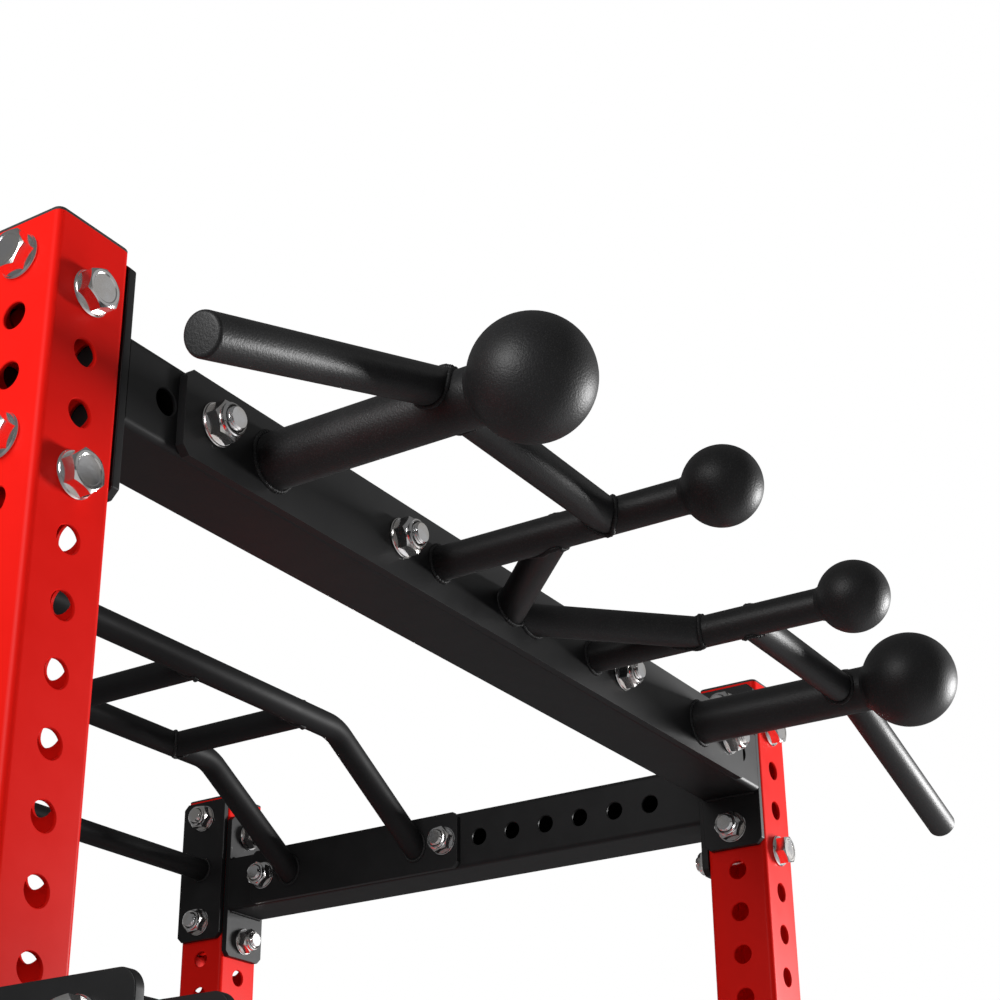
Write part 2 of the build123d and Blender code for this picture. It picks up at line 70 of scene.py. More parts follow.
MM = 0.001
FRAME_BODY = "frame"
Point = tuple[float, float, float]
Profile = Sequence[tuple[float, float]]
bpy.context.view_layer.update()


# ---------------------------------------------------------------- node trees
class Amount:
    """A number in a node tree that is worked with by the usual signs of arithmetic."""

    def __init__(self, board: "Board", socket: bpy.types.NodeSocket) -> None:
        """Wraps one output socket.

        Args:
            board: The tree that the socket belongs to.
            socket: The output socket that carries the number.
        """
        self.board = board
        self.socket = socket

    def _with(self, operation: str, first: object, second: object) -> "Amount":
        """Adds one Math node and returns its result."""
        made = self.board.node("ShaderNodeMath", {"operation": operation}, {0: first, 1: second})
        return Amount(self.board, made.outputs[0])

    def __add__(self, other: object) -> "Amount":
        """Sum."""
        return self._with("ADD", self, other)

    def __radd__(self, other: object) -> "Amount":
        """Sum, from the right."""
        return self._with("ADD", other, self)

    def __sub__(self, other: object) -> "Amount":
        """Difference."""
        return self._with("SUBTRACT", self, other)

    def __rsub__(self, other: object) -> "Amount":
        """Difference, from the right."""
        return self._with("SUBTRACT", other, self)

    def __mul__(self, other: object) -> "Amount":
        """Product."""
        return self._with("MULTIPLY", self, other)

    def __rmul__(self, other: object) -> "Amount":
        """Product, from the right."""
        return self._with("MULTIPLY", other, self)


class Board:
    """A node tree, for shading or for geometry, that is filled by one method."""

    def __init__(self, tree: bpy.types.NodeTree) -> None:
        """Keeps the tree.

        Args:
            tree: The node tree to fill.
        """
        self.tree = tree

    def node(self, kind: str, settings: Mapping[str, object] | None = None,
             values: Mapping[object, object] | None = None) -> bpy.types.Node:
        """Adds a node.

        Args:
            kind: The node's type.
            settings: Its properties, which are set before its sockets.
            values: Socket name, identifier or number, and what it gets: a constant, a
                socket, an Amount, or a list of sockets for a socket that takes several.

        Returns:
            The new node.
        """
        made = self.tree.nodes.new(kind)
        for name, value in (settings or {}).items():
            setattr(made, name, value)
        for key, value in (values or {}).items():
            self.plug(self._socket(made, key), value)
        return made

    def out(self, kind: str, settings: Mapping[str, object] | None = None,
            values: Mapping[object, object] | None = None, output: object = 0) -> bpy.types.NodeSocket:
        """Adds a node and returns one of its outputs, by name or number."""
        made = self.node(kind, settings, values)
        if isinstance(output, int):
            return [s for s in made.outputs if s.enabled][output]
        return made.outputs[output]

    def number(self, kind: str, settings: Mapping[str, object] | None = None,
               values: Mapping[object, object] | None = None, output: object = 0) -> Amount:
        """Adds a node and returns one of its outputs as an Amount."""
        return Amount(self, self.out(kind, settings, values, output))

    def plug(self, socket: bpy.types.NodeSocket, value: object) -> None:
        """Gives an input socket its constant or its links.

        Args:
            socket: The input socket.
            value: A constant, a socket, an Amount, or a list of sockets.
        """
        if isinstance(value, Amount):
            value = value.socket
        if isinstance(value, bpy.types.NodeSocket):
            self.tree.links.new(value, socket)
        elif isinstance(value, list):
            for each in value:
                self.plug(socket, each)
        else:
            socket.default_value = value

    @staticmethod
    def _socket(made: bpy.types.Node, key: object) -> bpy.types.NodeSocket:
        """Finds a node's input.

        Args:
            made: The node.
            key: The input's number, identifier or name.

        Returns:
            The socket.
        """
        if isinstance(key, int):
            return made.inputs[key]
        for socket in made.inputs:
            if socket.enabled and key in (socket.identifier, socket.name):
                return socket
        raise KeyError(f"{made.bl_idname} has no input {key}")


class ShapeTree(Board):
    """A Geometry Nodes tree with named inputs, which turns a guide mesh into a finished mesh."""

    KINDS = {float: "NodeSocketFloat", int: "NodeSocketInt", bpy.types.Object: "NodeSocketObject",
             bpy.types.Material: "NodeSocketMaterial", bpy.types.Mesh: "NodeSocketGeometry"}

    def __init__(self, name: str, inputs: Mapping[str, type]) -> None:
        """Makes the tree and its sockets.

        Args:
            name: The tree's name.
            inputs: Input names and their Python or Blender types. Material is added to them.
        """
        super().__init__(bpy.data.node_groups.new(name, "GeometryNodeTree"))
        face = self.tree.interface
        face.new_socket(name="Geometry", in_out="INPUT", socket_type=self.KINDS[bpy.types.Mesh])
        face.new_socket(name="Geometry", in_out="OUTPUT", socket_type=self.KINDS[bpy.types.Mesh])
        self.keys: dict[str, str] = {}
        for label, kind in {**inputs, "Material": bpy.types.Material}.items():
            made = face.new_socket(name=label, in_out="INPUT", socket_type=self.KINDS[kind])
            self.keys[label] = made.identifier
        self.source = self.tree.nodes.new("NodeGroupInput")
        self.sink = self.tree.nodes.new("NodeGroupOutput")

    def given(self, label: str) -> Amount:
        """The named input, ready for arithmetic."""
        return Amount(self, self.source.outputs[label])

    def join(self, parts: Sequence[bpy.types.NodeSocket]) -> bpy.types.NodeSocket:
        """Several geometries as one."""
        return self.out("GeometryNodeJoinGeometry", None, {0: list(parts)})

    def vector(self, x: object, y: object, z: object) -> bpy.types.NodeSocket:
        """A vector from three numbers."""
        return self.out("ShaderNodeCombineXYZ", None, {0: x, 1: y, 2: z})

    def moved(self, shape: bpy.types.NodeSocket, by: object,
              turn: Point = (0.0, 0.0, 0.0)) -> bpy.types.NodeSocket:
        """A geometry turned and then moved."""
        return self.out("GeometryNodeTransform", None, {0: shape, "Translation": by, "Rotation": turn})

    def copies(self, points: bpy.types.NodeSocket, shape: bpy.types.NodeSocket,
               values: Mapping[object, object] | None = None) -> bpy.types.NodeSocket:
        """Instances of a geometry on points."""
        values = {"Points": points, "Instance": shape, **(values or {})}
        return self.out("GeometryNodeInstanceOnPoints", None, values)

    def real(self, shape: bpy.types.NodeSocket) -> bpy.types.NodeSocket:
        """Instances made real."""
        return self.out("GeometryNodeRealizeInstances", None, {0: shape})

    def close(self, shape: bpy.types.NodeSocket) -> None:
        """Ends the tree: instances made real, then the material."""
        dressed = self.out("GeometryNodeSetMaterial", None,
                           {0: self.real(shape), "Material": self.given("Material")})
        self.plug(self.sink.inputs[0], dressed)

    def grow(self, name: str, guide: bpy.types.Mesh, inputs: Mapping[str, object]) -> bpy.types.Mesh:
        """Runs the tree on a guide mesh.

        Args:
            name: The new mesh's name.
            guide: The mesh of points or lines that the tree starts from.
            inputs: Input names and values.

        Returns:
            The evaluated result as a plain mesh.
        """
        carrier = bpy.data.objects.new(name, guide)
        bpy.context.scene.collection.objects.link(carrier)
        modifier = carrier.modifiers.new("shape", "NODES")
        modifier.node_group = self.tree
        for label, value in inputs.items():
            modifier[self.keys[label]] = value
        carrier.update_tag()
        bpy.context.view_layer.update()
        graph = bpy.context.evaluated_depsgraph_get()
        mesh = bpy.data.meshes.new_from_object(carrier.evaluated_get(graph), depsgraph=graph)
        bpy.data.objects.remove(carrier)
        bpy.data.meshes.remove(guide)
        mesh.name = name
        return mesh


# ---------------------------------------------------------------- finishes
@dataclass(frozen=True)
class Finish:
    """What all the finishes share: a name, the record's slot, a colour and a roughness."""

    name: str
    slot: str
    colour: Point
    roughness: float

    def material(self) -> bpy.types.Material:
        """The finish as a material, made once."""
        found = bpy.data.materials.get(self.name)
        if found:
            return found
        made = bpy.data.materials.new(self.name)
        made.use_nodes = True
        board = Board(made.node_tree)
        shader = made.node_tree.nodes["Principled BSDF"]
        self.dress(board, shader, board.out("ShaderNodeTexCoord", output="Object"))
        made.diffuse_color = (*self.colour, 1.0)
        return made

    def dress(self, board: Board, shader: bpy.types.Node, place: bpy.types.NodeSocket) -> None:
        """Fills in the shader.

        Args:
            board: The material's tree.
            shader: Its shader node.
            place: Object coordinates.
        """
        raise NotImplementedError

    @staticmethod
    def noise(board: Board, place: bpy.types.NodeSocket, scale: float, detail: float = 2.0) -> Amount:
        """Noise of so many features to the metre, about 0.5."""
        return board.number("ShaderNodeTexNoise", None, {"Vector": place, "Scale": scale, "Detail": detail})

    @staticmethod
    def stretched(board: Board, place: bpy.types.NodeSocket, scale: Point) -> bpy.types.NodeSocket:
        """Object coordinates stretched along the axes."""
        return board.out("ShaderNodeMapping", None, {"Vector": place, "Scale": scale})

    @staticmethod
    def between(board: Board, share: Amount, low: Point, high: Point) -> bpy.types.NodeSocket:
        """A colour between two, by share."""
        return board.out("ShaderNodeMix", {"data_type": "RGBA"},
                         {"Factor_Float": share, "A_Color": (*low, 1.0), "B_Color": (*high, 1.0)})

    @staticmethod
    def levels(board: Board, value: Amount, low: float, high: float) -> Amount:
        """A value spread from low..high to 0..1, and held there."""
        return board.number("ShaderNodeMapRange", {"interpolation_type": "SMOOTHSTEP"},
                            {"Value": value, "From Min": low, "From Max": high})

    def bump(self, board: Board, height: Amount, depth: float, strength: float) -> bpy.types.NodeSocket:
        """A normal from a height of 0..1 that stands for a depth in metres."""
        return board.out("ShaderNodeBump", None, {"Height": height, "Distance": depth, "Strength": strength})


@dataclass(frozen=True)
class PowderCoat(Finish):
    """Baked powder paint: an orange peel of fine waves, a faint change of tone and gloss, and, where asked
    for, painted glints: light specks in the colour that stand for the grain catching the light.
    """

    grain: float = 700.0          # waves to the metre
    depth: float = 0.00006
    strength: float = 0.35
    mottle: float = 0.08
    # painted glints: how much lighter the specks in the colour are, standing for light caught by the grain
    specks: float = 0.0
    shine: float = 0.5            # specular level
    drift_scale: float = 5.0      # slow changes of tone to the metre
    haze_scale: float = 38.0

    def dress(self, board: Board, shader: bpy.types.Node, place: bpy.types.NodeSocket) -> None:
        """Paint with tone, peel and roughness that drift over the surface, and painted glints of light specks
        where asked for.
        """
        drift = self.noise(board, place, self.drift_scale, 4.0)
        haze = self.noise(board, place, self.haze_scale, 3.0)
        peel = self.noise(board, place, self.grain, 2.0)
        tone = self.levels(board, drift * 0.6 + haze * 0.4, 0.3, 0.7)
        low = tuple(c * (1 - self.mottle) for c in self.colour)
        high = tuple(min(1.0, c * (1 + self.mottle)) for c in self.colour)
        painted = self.between(board, tone, low, high)
        # Painted glints: light dots mixed into the base colour where the grain would sparkle under the lamps.
        if self.specks:
            dots = self.noise(board, place, self.grain * 1.9, 1.0)
            bright = tuple(c + self.specks for c in self.colour)
            painted = board.out("ShaderNodeMix", {"data_type": "RGBA"},
                                {"Factor_Float": self.levels(board, dots, 0.52, 0.72),
                                 "A_Color": painted, "B_Color": (*bright, 1.0)})
        board.plug(shader.inputs["Base Color"], painted)
        board.plug(shader.inputs["Roughness"], haze * 0.12 + peel * 0.1 + (self.roughness - 0.11))
        board.plug(shader.inputs["Normal"], self.bump(board, peel, self.depth, self.strength))
        shader.inputs["Specular IOR Level"].default_value = self.shine


@dataclass(frozen=True)
class Plating(Finish):
    """Bright zinc on forged steel, with a faint cast of colour and fine marks from handling."""

    cast: Point = (0.70, 0.66, 0.62)
    tint_scale: float = 60.0
    scratch_scale: float = 420.0
    forge_scale: float = 260.0
    mark_depth: float = 0.00012

    def dress(self, board: Board, shader: bpy.types.Node, place: bpy.types.NodeSocket) -> None:
        """Metal whose colour drifts a little, with fine scratches in its gloss."""
        tint = self.levels(board, self.noise(board, place, self.tint_scale, 3.0), 0.35, 0.65)
        drawn = self.stretched(board, place, (1.0, 1.0, 9.0))
        scratch = self.noise(board, drawn, self.scratch_scale, 3.0)
        forged = self.noise(board, place, self.forge_scale, 2.0)
        board.plug(shader.inputs["Base Color"], self.between(board, tint, self.colour, self.cast))
        board.plug(shader.inputs["Roughness"], scratch * 0.14 + tint * 0.05 + (self.roughness - 0.09))
        board.plug(shader.inputs["Normal"], self.bump(board, forged + scratch * 0.5, self.mark_depth, 0.25))
        shader.inputs["Metallic"].default_value = 1.0


@dataclass(frozen=True)
class TurnedSteel(Finish):
    """Bare steel bar off a lathe: streaks along or round it and a few rubbed bands."""

    streak: Point = (900.0, 900.0, 14.0)
    rub_scale: float = 22.0
    dullest: float = 0.72         # share of the colour where nothing has rubbed

    def dress(self, board: Board, shader: bpy.types.Node, place: bpy.types.NodeSocket) -> None:
        """Metal streaked one way, with rubbed patches."""
        fine = self.noise(board, self.stretched(board, place, self.streak), 1.0, 3.0)
        rubbed = self.levels(board, self.noise(board, place, self.rub_scale, 4.0), 0.42, 0.68)
        dark = tuple(c * self.dullest for c in self.colour)
        shade = self.between(board, rubbed * 0.6 + fine * 0.4, dark, self.colour)
        board.plug(shader.inputs["Base Color"], shade)
        board.plug(shader.inputs["Roughness"], fine * 0.2 + (1 - rubbed) * 0.12 + (self.roughness - 0.12))
        board.plug(shader.inputs["Normal"], self.bump(board, fine, 0.00005, 0.4))
        shader.inputs["Metallic"].default_value = 1.0


@dataclass(frozen=True)
class MouldedPlastic(Finish):
    """Moulded plastic: a fine leather of the mould, scuffs and dust."""

    grain: float = 900.0
    scuff: float = 0.05
    scuff_scale: float = 45.0

    def dress(self, board: Board, shader: bpy.types.Node, place: bpy.types.NodeSocket) -> None:
        """Plastic with a fine grain and dull scuffs."""
        cells = board.number("ShaderNodeTexVoronoi", {"feature": "SMOOTH_F1"},
                             {"Vector": place, "Scale": self.grain})
        rubs = self.noise(board, self.stretched(board, place, (1.0, 3.0, 0.6)), self.scuff_scale, 5.0)
        scuffs = self.levels(board, rubs, 0.5, 0.75)
        worn = tuple(c + self.scuff for c in self.colour)
        board.plug(shader.inputs["Base Color"], self.between(board, scuffs, self.colour, worn))
        board.plug(shader.inputs["Roughness"], scuffs * 0.14 + cells * 0.08 + (self.roughness - 0.06))
        board.plug(shader.inputs["Normal"], self.bump(board, cells, 0.00005, 0.3))


RED_PAINT = PowderCoat("red_powder_coat", "upright_paint", (0.80, 0.010, 0.006), 0.36,
                       grain=520.0, depth=0.00005, strength=0.18, mottle=0.03, shine=0.06)
BLACK_PAINT = PowderCoat("black_powder_coat", "frame_paint", (0.0115, 0.0115, 0.0120), 0.45,
                         grain=620.0, depth=0.00006, strength=0.25, mottle=0.15, shine=0.22)
# The grainy grip coat carries painted glints, light specks in its colour for the grain catching the light.
GRIP_PAINT = PowderCoat("grainy_grip_coat", "grip_paint", (0.0105, 0.0105, 0.0110), 0.46,
                        grain=600.0, depth=0.00032, strength=0.8, mottle=0.25, specks=0.016, shine=0.33)
BAR_PAINT = PowderCoat("smooth_bar_coat", "grip_paint", (0.0100, 0.0100, 0.0105), 0.55,
                       grain=620.0, depth=0.00005, strength=0.25, mottle=0.15, shine=0.14)
ZINC = Plating("bright_zinc", "zinc_steel", (0.90, 0.90, 0.91), 0.17, cast=(0.82, 0.79, 0.76))
PIN_STEEL = TurnedSteel("turned_steel", "pin_steel", (0.62, 0.63, 0.64), 0.34)
CAP_PLASTIC = MouldedPlastic("cap_plastic", "cap_plastic", (0.014, 0.014, 0.014), 0.5)
LINER_PLASTIC = MouldedPlastic("liner_plastic", "liner_plastic", (0.03, 0.03, 0.032), 0.55, scuff=0.05)


# ---------------------------------------------------------------- meshes
MERGE = 2e-6                      # metres, points nearer than this are one
CAD_MERGE = 5e-6
SEAM = 1e-5
ROUND_SHARP = 40.0                # degrees, edges that stay sharp on round bars
FLAT = 1.0                        # degrees, faces that turn less are one
KEEP = 30.0                       # degrees, edges that turn less aren't rounded
FULL_TURN = 2 * math.pi


@contextmanager
def opened(mesh: bpy.types.Mesh) -> Iterator[bmesh.types.BMesh]:
    """A mesh opened for editing, and written back afterwards."""
    work = bmesh.new()
    work.from_mesh(mesh)
    yield work
    work.to_mesh(mesh)
    work.free()


def polished(mesh: bpy.types.Mesh, sharp: float = 35.0) -> bpy.types.Mesh:
    """Merges doubles, points the faces outwards and shades smooth except over sharp edges.

    Args:
        mesh: A mesh of closed shells.
        sharp: Edges that turn more than this many degrees stay sharp.

    Returns:
        The same mesh.
    """
    with opened(mesh) as work:
        bmesh.ops.remove_doubles(work, verts=work.verts, dist=MERGE)
        bmesh.ops.recalc_face_normals(work, faces=work.faces)
    mesh.shade_smooth()
    mesh.set_sharp_from_angle(angle=math.radians(sharp))
    return mesh


def metres(points: Iterable[Sequence[float]]) -> list[tuple[float, ...]]:
    """Points given in millimetres, in metres."""
    return [tuple(c * MM for c in p) for p in points]


def made_of(name: str, points: Sequence[Sequence[float]], faces: Sequence[Sequence[int]],
            edges: Sequence[Sequence[int]] = ()) -> bpy.types.Mesh:
    """A mesh from lists of points, faces and edges."""
    mesh = bpy.data.meshes.new(name)
    mesh.from_pydata([tuple(p) for p in points], list(edges), list(faces))
    return mesh


def axes(direction: Sequence[float]) -> np.ndarray:
    """Three unit vectors for work along a direction.

    Args:
        direction: The direction, of any length.

    Returns:
        Three rows: two across the direction, and the direction itself.
    """
    along = np.array(direction, float) / np.linalg.norm(direction)
    rough = np.array((0.0, 0.0, 1.0)) if abs(along[2]) < 0.9 else np.array((1.0, 0.0, 0.0))
    across = np.cross(rough, along)
    across /= np.linalg.norm(across)
    return np.array((across, np.cross(along, across), along))


def turned(name: str, profile: Profile, origin: Point, direction: Sequence[float], segments: int = 48,
           swell: Callable[[float, float, float], float] | None = None) -> bpy.types.Mesh:
    """A shape off a lathe.

    Args:
        name: The mesh's name.
        profile: (distance along the axis, radius) pairs in millimetres. A first or last radius
            of 0 is a pole, and a profile whose ends meet is a ring.
        origin: Where the axis starts, in millimetres.
        direction: Which way it runs.
        segments: Faces round the axis.
        swell: Changes a radius, given the distance along, the radius and the angle.

    Returns:
        The closed mesh.
    """
    across, up, along = axes(direction)
    points: list[np.ndarray] = []
    rows: list[list[int]] = []
    for distance, radius in profile:
        row = []
        for i in range(segments if radius > 0 else 1):
            angle = FULL_TURN * i / segments
            size = swell(distance, radius, angle) if swell and radius > 0 else radius
            row.append(len(points))
            points.append(np.array(origin) + distance * along
                          + size * (math.cos(angle) * across + math.sin(angle) * up))
        rows.append(row)
    faces = []
    for low, high in zip(rows, rows[1:]):
        for i in range(segments):
            j = (i + 1) % segments
            if len(low) == 1:
                faces.append((low[0], high[j], high[i]))
            elif len(high) == 1:
                faces.append((low[i], low[j], high[0]))
            else:
                faces.append((low[i], low[j], high[j], high[i]))
    return polished(made_of(name, metres(points), faces))


def lofted(name: str, rings: Sequence[Sequence[Point]], capped: bool) -> bpy.types.Mesh:
    """A skin over rings of the same number of points, in millimetres.

    Args:
        name: The mesh's name.
        rings: The rings from one end to the other.
        capped: Whether both ends are closed by a face. Otherwise the last ring meets the first.

    Returns:
        The closed mesh.
    """
    count = len(rings[0])
    if not capped:
        rings = [*rings, rings[0]]
    points = metres(p for ring in rings for p in ring)
    faces: list[tuple[int, ...]] = []
    for row in range(len(rings) - 1):
        a, b = row * count, (row + 1) * count
        faces += [(a + i, a + (i + 1) % count, b + (i + 1) % count, b + i) for i in range(count)]
    if capped:
        faces.append(tuple(reversed(range(count))))
        faces.append(tuple(range((len(rings) - 1) * count, len(rings) * count)))
    return polished(made_of(name, points, faces), 28.0)


def joined(name: str, meshes: Sequence[bpy.types.Mesh]) -> bpy.types.Mesh:
    """Several meshes as one.

    Args:
        name: The new mesh's name.
        meshes: The meshes, which are removed.

    Returns:
        The new mesh.
    """
    whole = bpy.data.meshes.new(name)
    with opened(whole) as work:
        for mesh in meshes:
            work.from_mesh(mesh)
            bpy.data.meshes.remove(mesh)
    return whole


def lines(runs: Sequence[Sequence[Sequence[float]]]) -> bpy.types.Mesh:
    """A guide mesh of polylines.

    Args:
        runs: Each line's points in millimetres.

    Returns:
        A mesh of edges alone.
    """
    points: list[Sequence[float]] = []
    edges = []
    for run in runs:
        edges += [(len(points) + i, len(points) + i + 1) for i in range(len(run) - 1)]
        points.extend(run)
    return made_of("guide", metres(points), (), edges)


def circle(radius: float, level: float, count: int) -> list[Point]:
    """A ring of points round Z."""
    turns = [FULL_TURN * i / count for i in range(count)]
    return [(radius * math.cos(a), radius * math.sin(a), level) for a in turns]


def rounded_square(size: float, corner: float, level: float, steps: int = 6) -> list[Point]:
    """Points round a square with round corners, at one height.

    Args:
        size: The square's side.
        corner: The corners' radius.
        level: The height.
        steps: Runs across each corner.

    Returns:
        The points, from the first corner round.
    """
    inner = size / 2 - corner
    ring = []
    for quarter in range(4):
        cx = inner * (1 if quarter in (0, 3) else -1)
        cy = inner * (1 if quarter in (0, 1) else -1)
        for i in range(steps + 1):
            angle = math.pi / 2 * (quarter + i / steps)
            ring.append((cx + corner * math.cos(angle), cy + corner * math.sin(angle), level))
    return ring


def dense(ring: Sequence[Point], step: float = 8.0) -> list[np.ndarray]:
    """A closed ring of points with its long runs divided, so that nothing cuts its corners.

    Args:
        ring: The points, of which the first isn't repeated.
        step: No run is longer than about two of these.

    Returns:
        The ring with the points added.
    """
    points = []
    for start, end in zip(ring, [*ring[1:], ring[0]]):
        a, b = np.array(start, float), np.array(end, float)
        count = max(1, int(np.linalg.norm(b - a) / step))
        points += [a + (b - a) * i / count for i in range(count)]
    return points


def trimmed(mesh: bpy.types.Mesh, place: Point, outward: Point) -> bpy.types.Mesh:
    """Cuts away what lies past a plane, and closes the cut.

    Args:
        mesh: The mesh to cut.
        place: A point of the plane, in millimetres.
        outward: The plane's direction, towards what is cut away.

    Returns:
        The same mesh.
    """
    with opened(mesh) as work:
        everything = [*work.verts, *work.edges, *work.faces]
        bmesh.ops.bisect_plane(work, geom=everything, dist=1e-6, plane_co=Vector(place) * MM,
                               plane_no=Vector(outward), clear_outer=True)
        bmesh.ops.holes_fill(work, edges=[e for e in work.edges if e.is_boundary])
    return mesh


def sleeve(name: str, start: Point, direction: Point, length: float, outer: float, inner: float,
           ease: float) -> bpy.types.Mesh:
    """A tube with eased ends.

    Args:
        name: The mesh's name.
        start: The middle of its first end, in millimetres.
        direction: Which way it runs.
        length: Its length.
        outer: Its outer radius.
        inner: Its inner radius.
        ease: The rounding of its edges.

    Returns:
        The closed mesh.
    """
    soft = ease * 0.3
    ring = [(0.0, inner + ease), (0.0, outer - ease), (soft, outer - soft), (ease, outer),
            (length - ease, outer), (length - soft, outer - soft), (length, outer - ease),
            (length, inner + ease), (length - ease, inner), (ease, inner), (0.0, inner + ease)]
    return turned(name, ring, start, direction, 56)


# ---------------------------------------------------------------- pieces
def piece(name: str, mesh: bpy.types.Mesh, finish: Finish, body: str,
          stands_for: Iterable[str]) -> bpy.types.Object:
    """Puts a finished mesh in the scene and ties it to the frame.

    Args:
        name: The piece's name.
        mesh: Its mesh, already in place.
        finish: What it is painted or plated with.
        body: The CAD body that it rides on.
        stands_for: CAD nodes that it is shown in place of.

    Returns:
        The new object.
    """
    mesh.name = name
    if not mesh.materials or mesh.materials[0] is None:
        mesh.materials.clear()
        mesh.materials.append(finish.material())
    made = bpy.data.objects.new(name, mesh)
    bpy.context.scene.collection.objects.link(made)
    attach(made, body)
    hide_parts(*stands_for)
    log.info("%s: %d faces on %s", name, len(mesh.polygons), body)
    return made


def body_of_node(node: str) -> str:
    """The CAD body that a node rides on."""
    return str(frame["nodes"][node]["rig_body"])


def box_mm(node: str) -> tuple[list[float], list[float]]:
    """A CAD node's lowest and highest corners in millimetres, to the hundredth."""
    low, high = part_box(node)
    return [round(c / MM, 2) for c in low], [round(c / MM, 2) for c in high]


def weighted(made: bpy.types.Object, weight: int = 50) -> None:
    """Lets the large flat faces set the shading of their edges."""
    weigh = made.modifiers.new("weigh", "WEIGHTED_NORMAL")
    weigh.keep_sharp = True
    weigh.weight = weight


def eased(node: str, finish: Finish, width: float, steps: int = 2) -> None:
    """A CAD node's own shape with its sharp edges rounded over, as blasting and paint leave them.

    Args:
        node: The CAD node.
        finish: Its paint.
        width: How far the rounding reaches from an edge, in millimetres.
        steps: Faces across the rounding.
    """
    mesh = bpy.data.meshes.new(f"{node}_eased")
    with opened(mesh) as work:
        work.from_mesh(frame["nodes"][node].data)
        bmesh.ops.remove_doubles(work, verts=work.verts, dist=CAD_MERGE)
        bmesh.ops.dissolve_limit(work, angle_limit=math.radians(FLAT), verts=work.verts, edges=work.edges)
    mesh.shade_smooth()
    made = piece(f"{node}_eased", mesh, finish, body_of_node(node), [node])
    ease = made.modifiers.new("ease", "BEVEL")
    ease.width = width * MM
    ease.segments = steps
    ease.limit_method = "ANGLE"
    ease.angle_limit = math.radians(KEEP)
    ease.use_clamp_overlap = True
    ease.harden_normals = False
    weighted(made, 80)


@dataclass(frozen=True)
class FlutedPin:
    """A steel pin with a chamfered tip, a detent groove and a fluted knob, in millimetres."""

    radius: float
    knob: tuple[float, float]        # radius, length
    tip: float = 2.2
    groove: Profile = ((8.0, 0.0), (8.8, 1.1), (10.4, 1.1), (11.2, 0.0))     # from the tip, depth
    # Along the knob from its front, then from its back: distance, and how far inside its radius.
    knob_front: Profile = ((0.0, 3.5), (1.2, 1.4), (3.0, 0.0), (4.0, 0.0))
    knob_back: Profile = ((4.0, 0.0), (3.0, 0.0), (1.0, 1.6), (0.0, 4.0))
    dish: Profile = ((0.0, 0.45), (0.8, 0.38), (0.8, 0.0))   # from the back, share of the radius
    flutes: int = 14
    flute_depth: float = 1.5
    flute_inset: float = 3.5
    segments: int = 112

    def make(self, node: str, start: Point, direction: Point, length: float) -> None:
        """Makes the pin that stands for a node.

        Args:
            node: The CAD node.
            start: The pin's tip.
            direction: From the tip to the knob.
            length: From the tip to the knob's seat.
        """
        wide, long = self.knob
        end = length + long
        profile = [(0.0, 0.0), (0.0, self.radius - self.tip), (self.tip, self.radius)]
        profile += [(d, self.radius - deep) for d, deep in self.groove]
        profile.append((length, self.radius))
        profile += [(length + d, wide - inside) for d, inside in self.knob_front]
        profile += [(end - d, wide - inside) for d, inside in self.knob_back]
        profile += [(end - d, wide * share) for d, share in self.dish]
        low, high = length + self.flute_inset, end - self.flute_inset

        def swell(distance: float, size: float, angle: float) -> float:
            """Finger flutes round the middle of the knob."""
            deep = self.flute_depth * max(0.0, math.cos(self.flutes * angle)) ** 2
            return size - deep if low <= distance <= high else size

        mesh = turned(node, profile, start, direction, self.segments, swell)
        piece(f"{node}_turned", mesh, PIN_STEEL, body_of_node(node), [node])


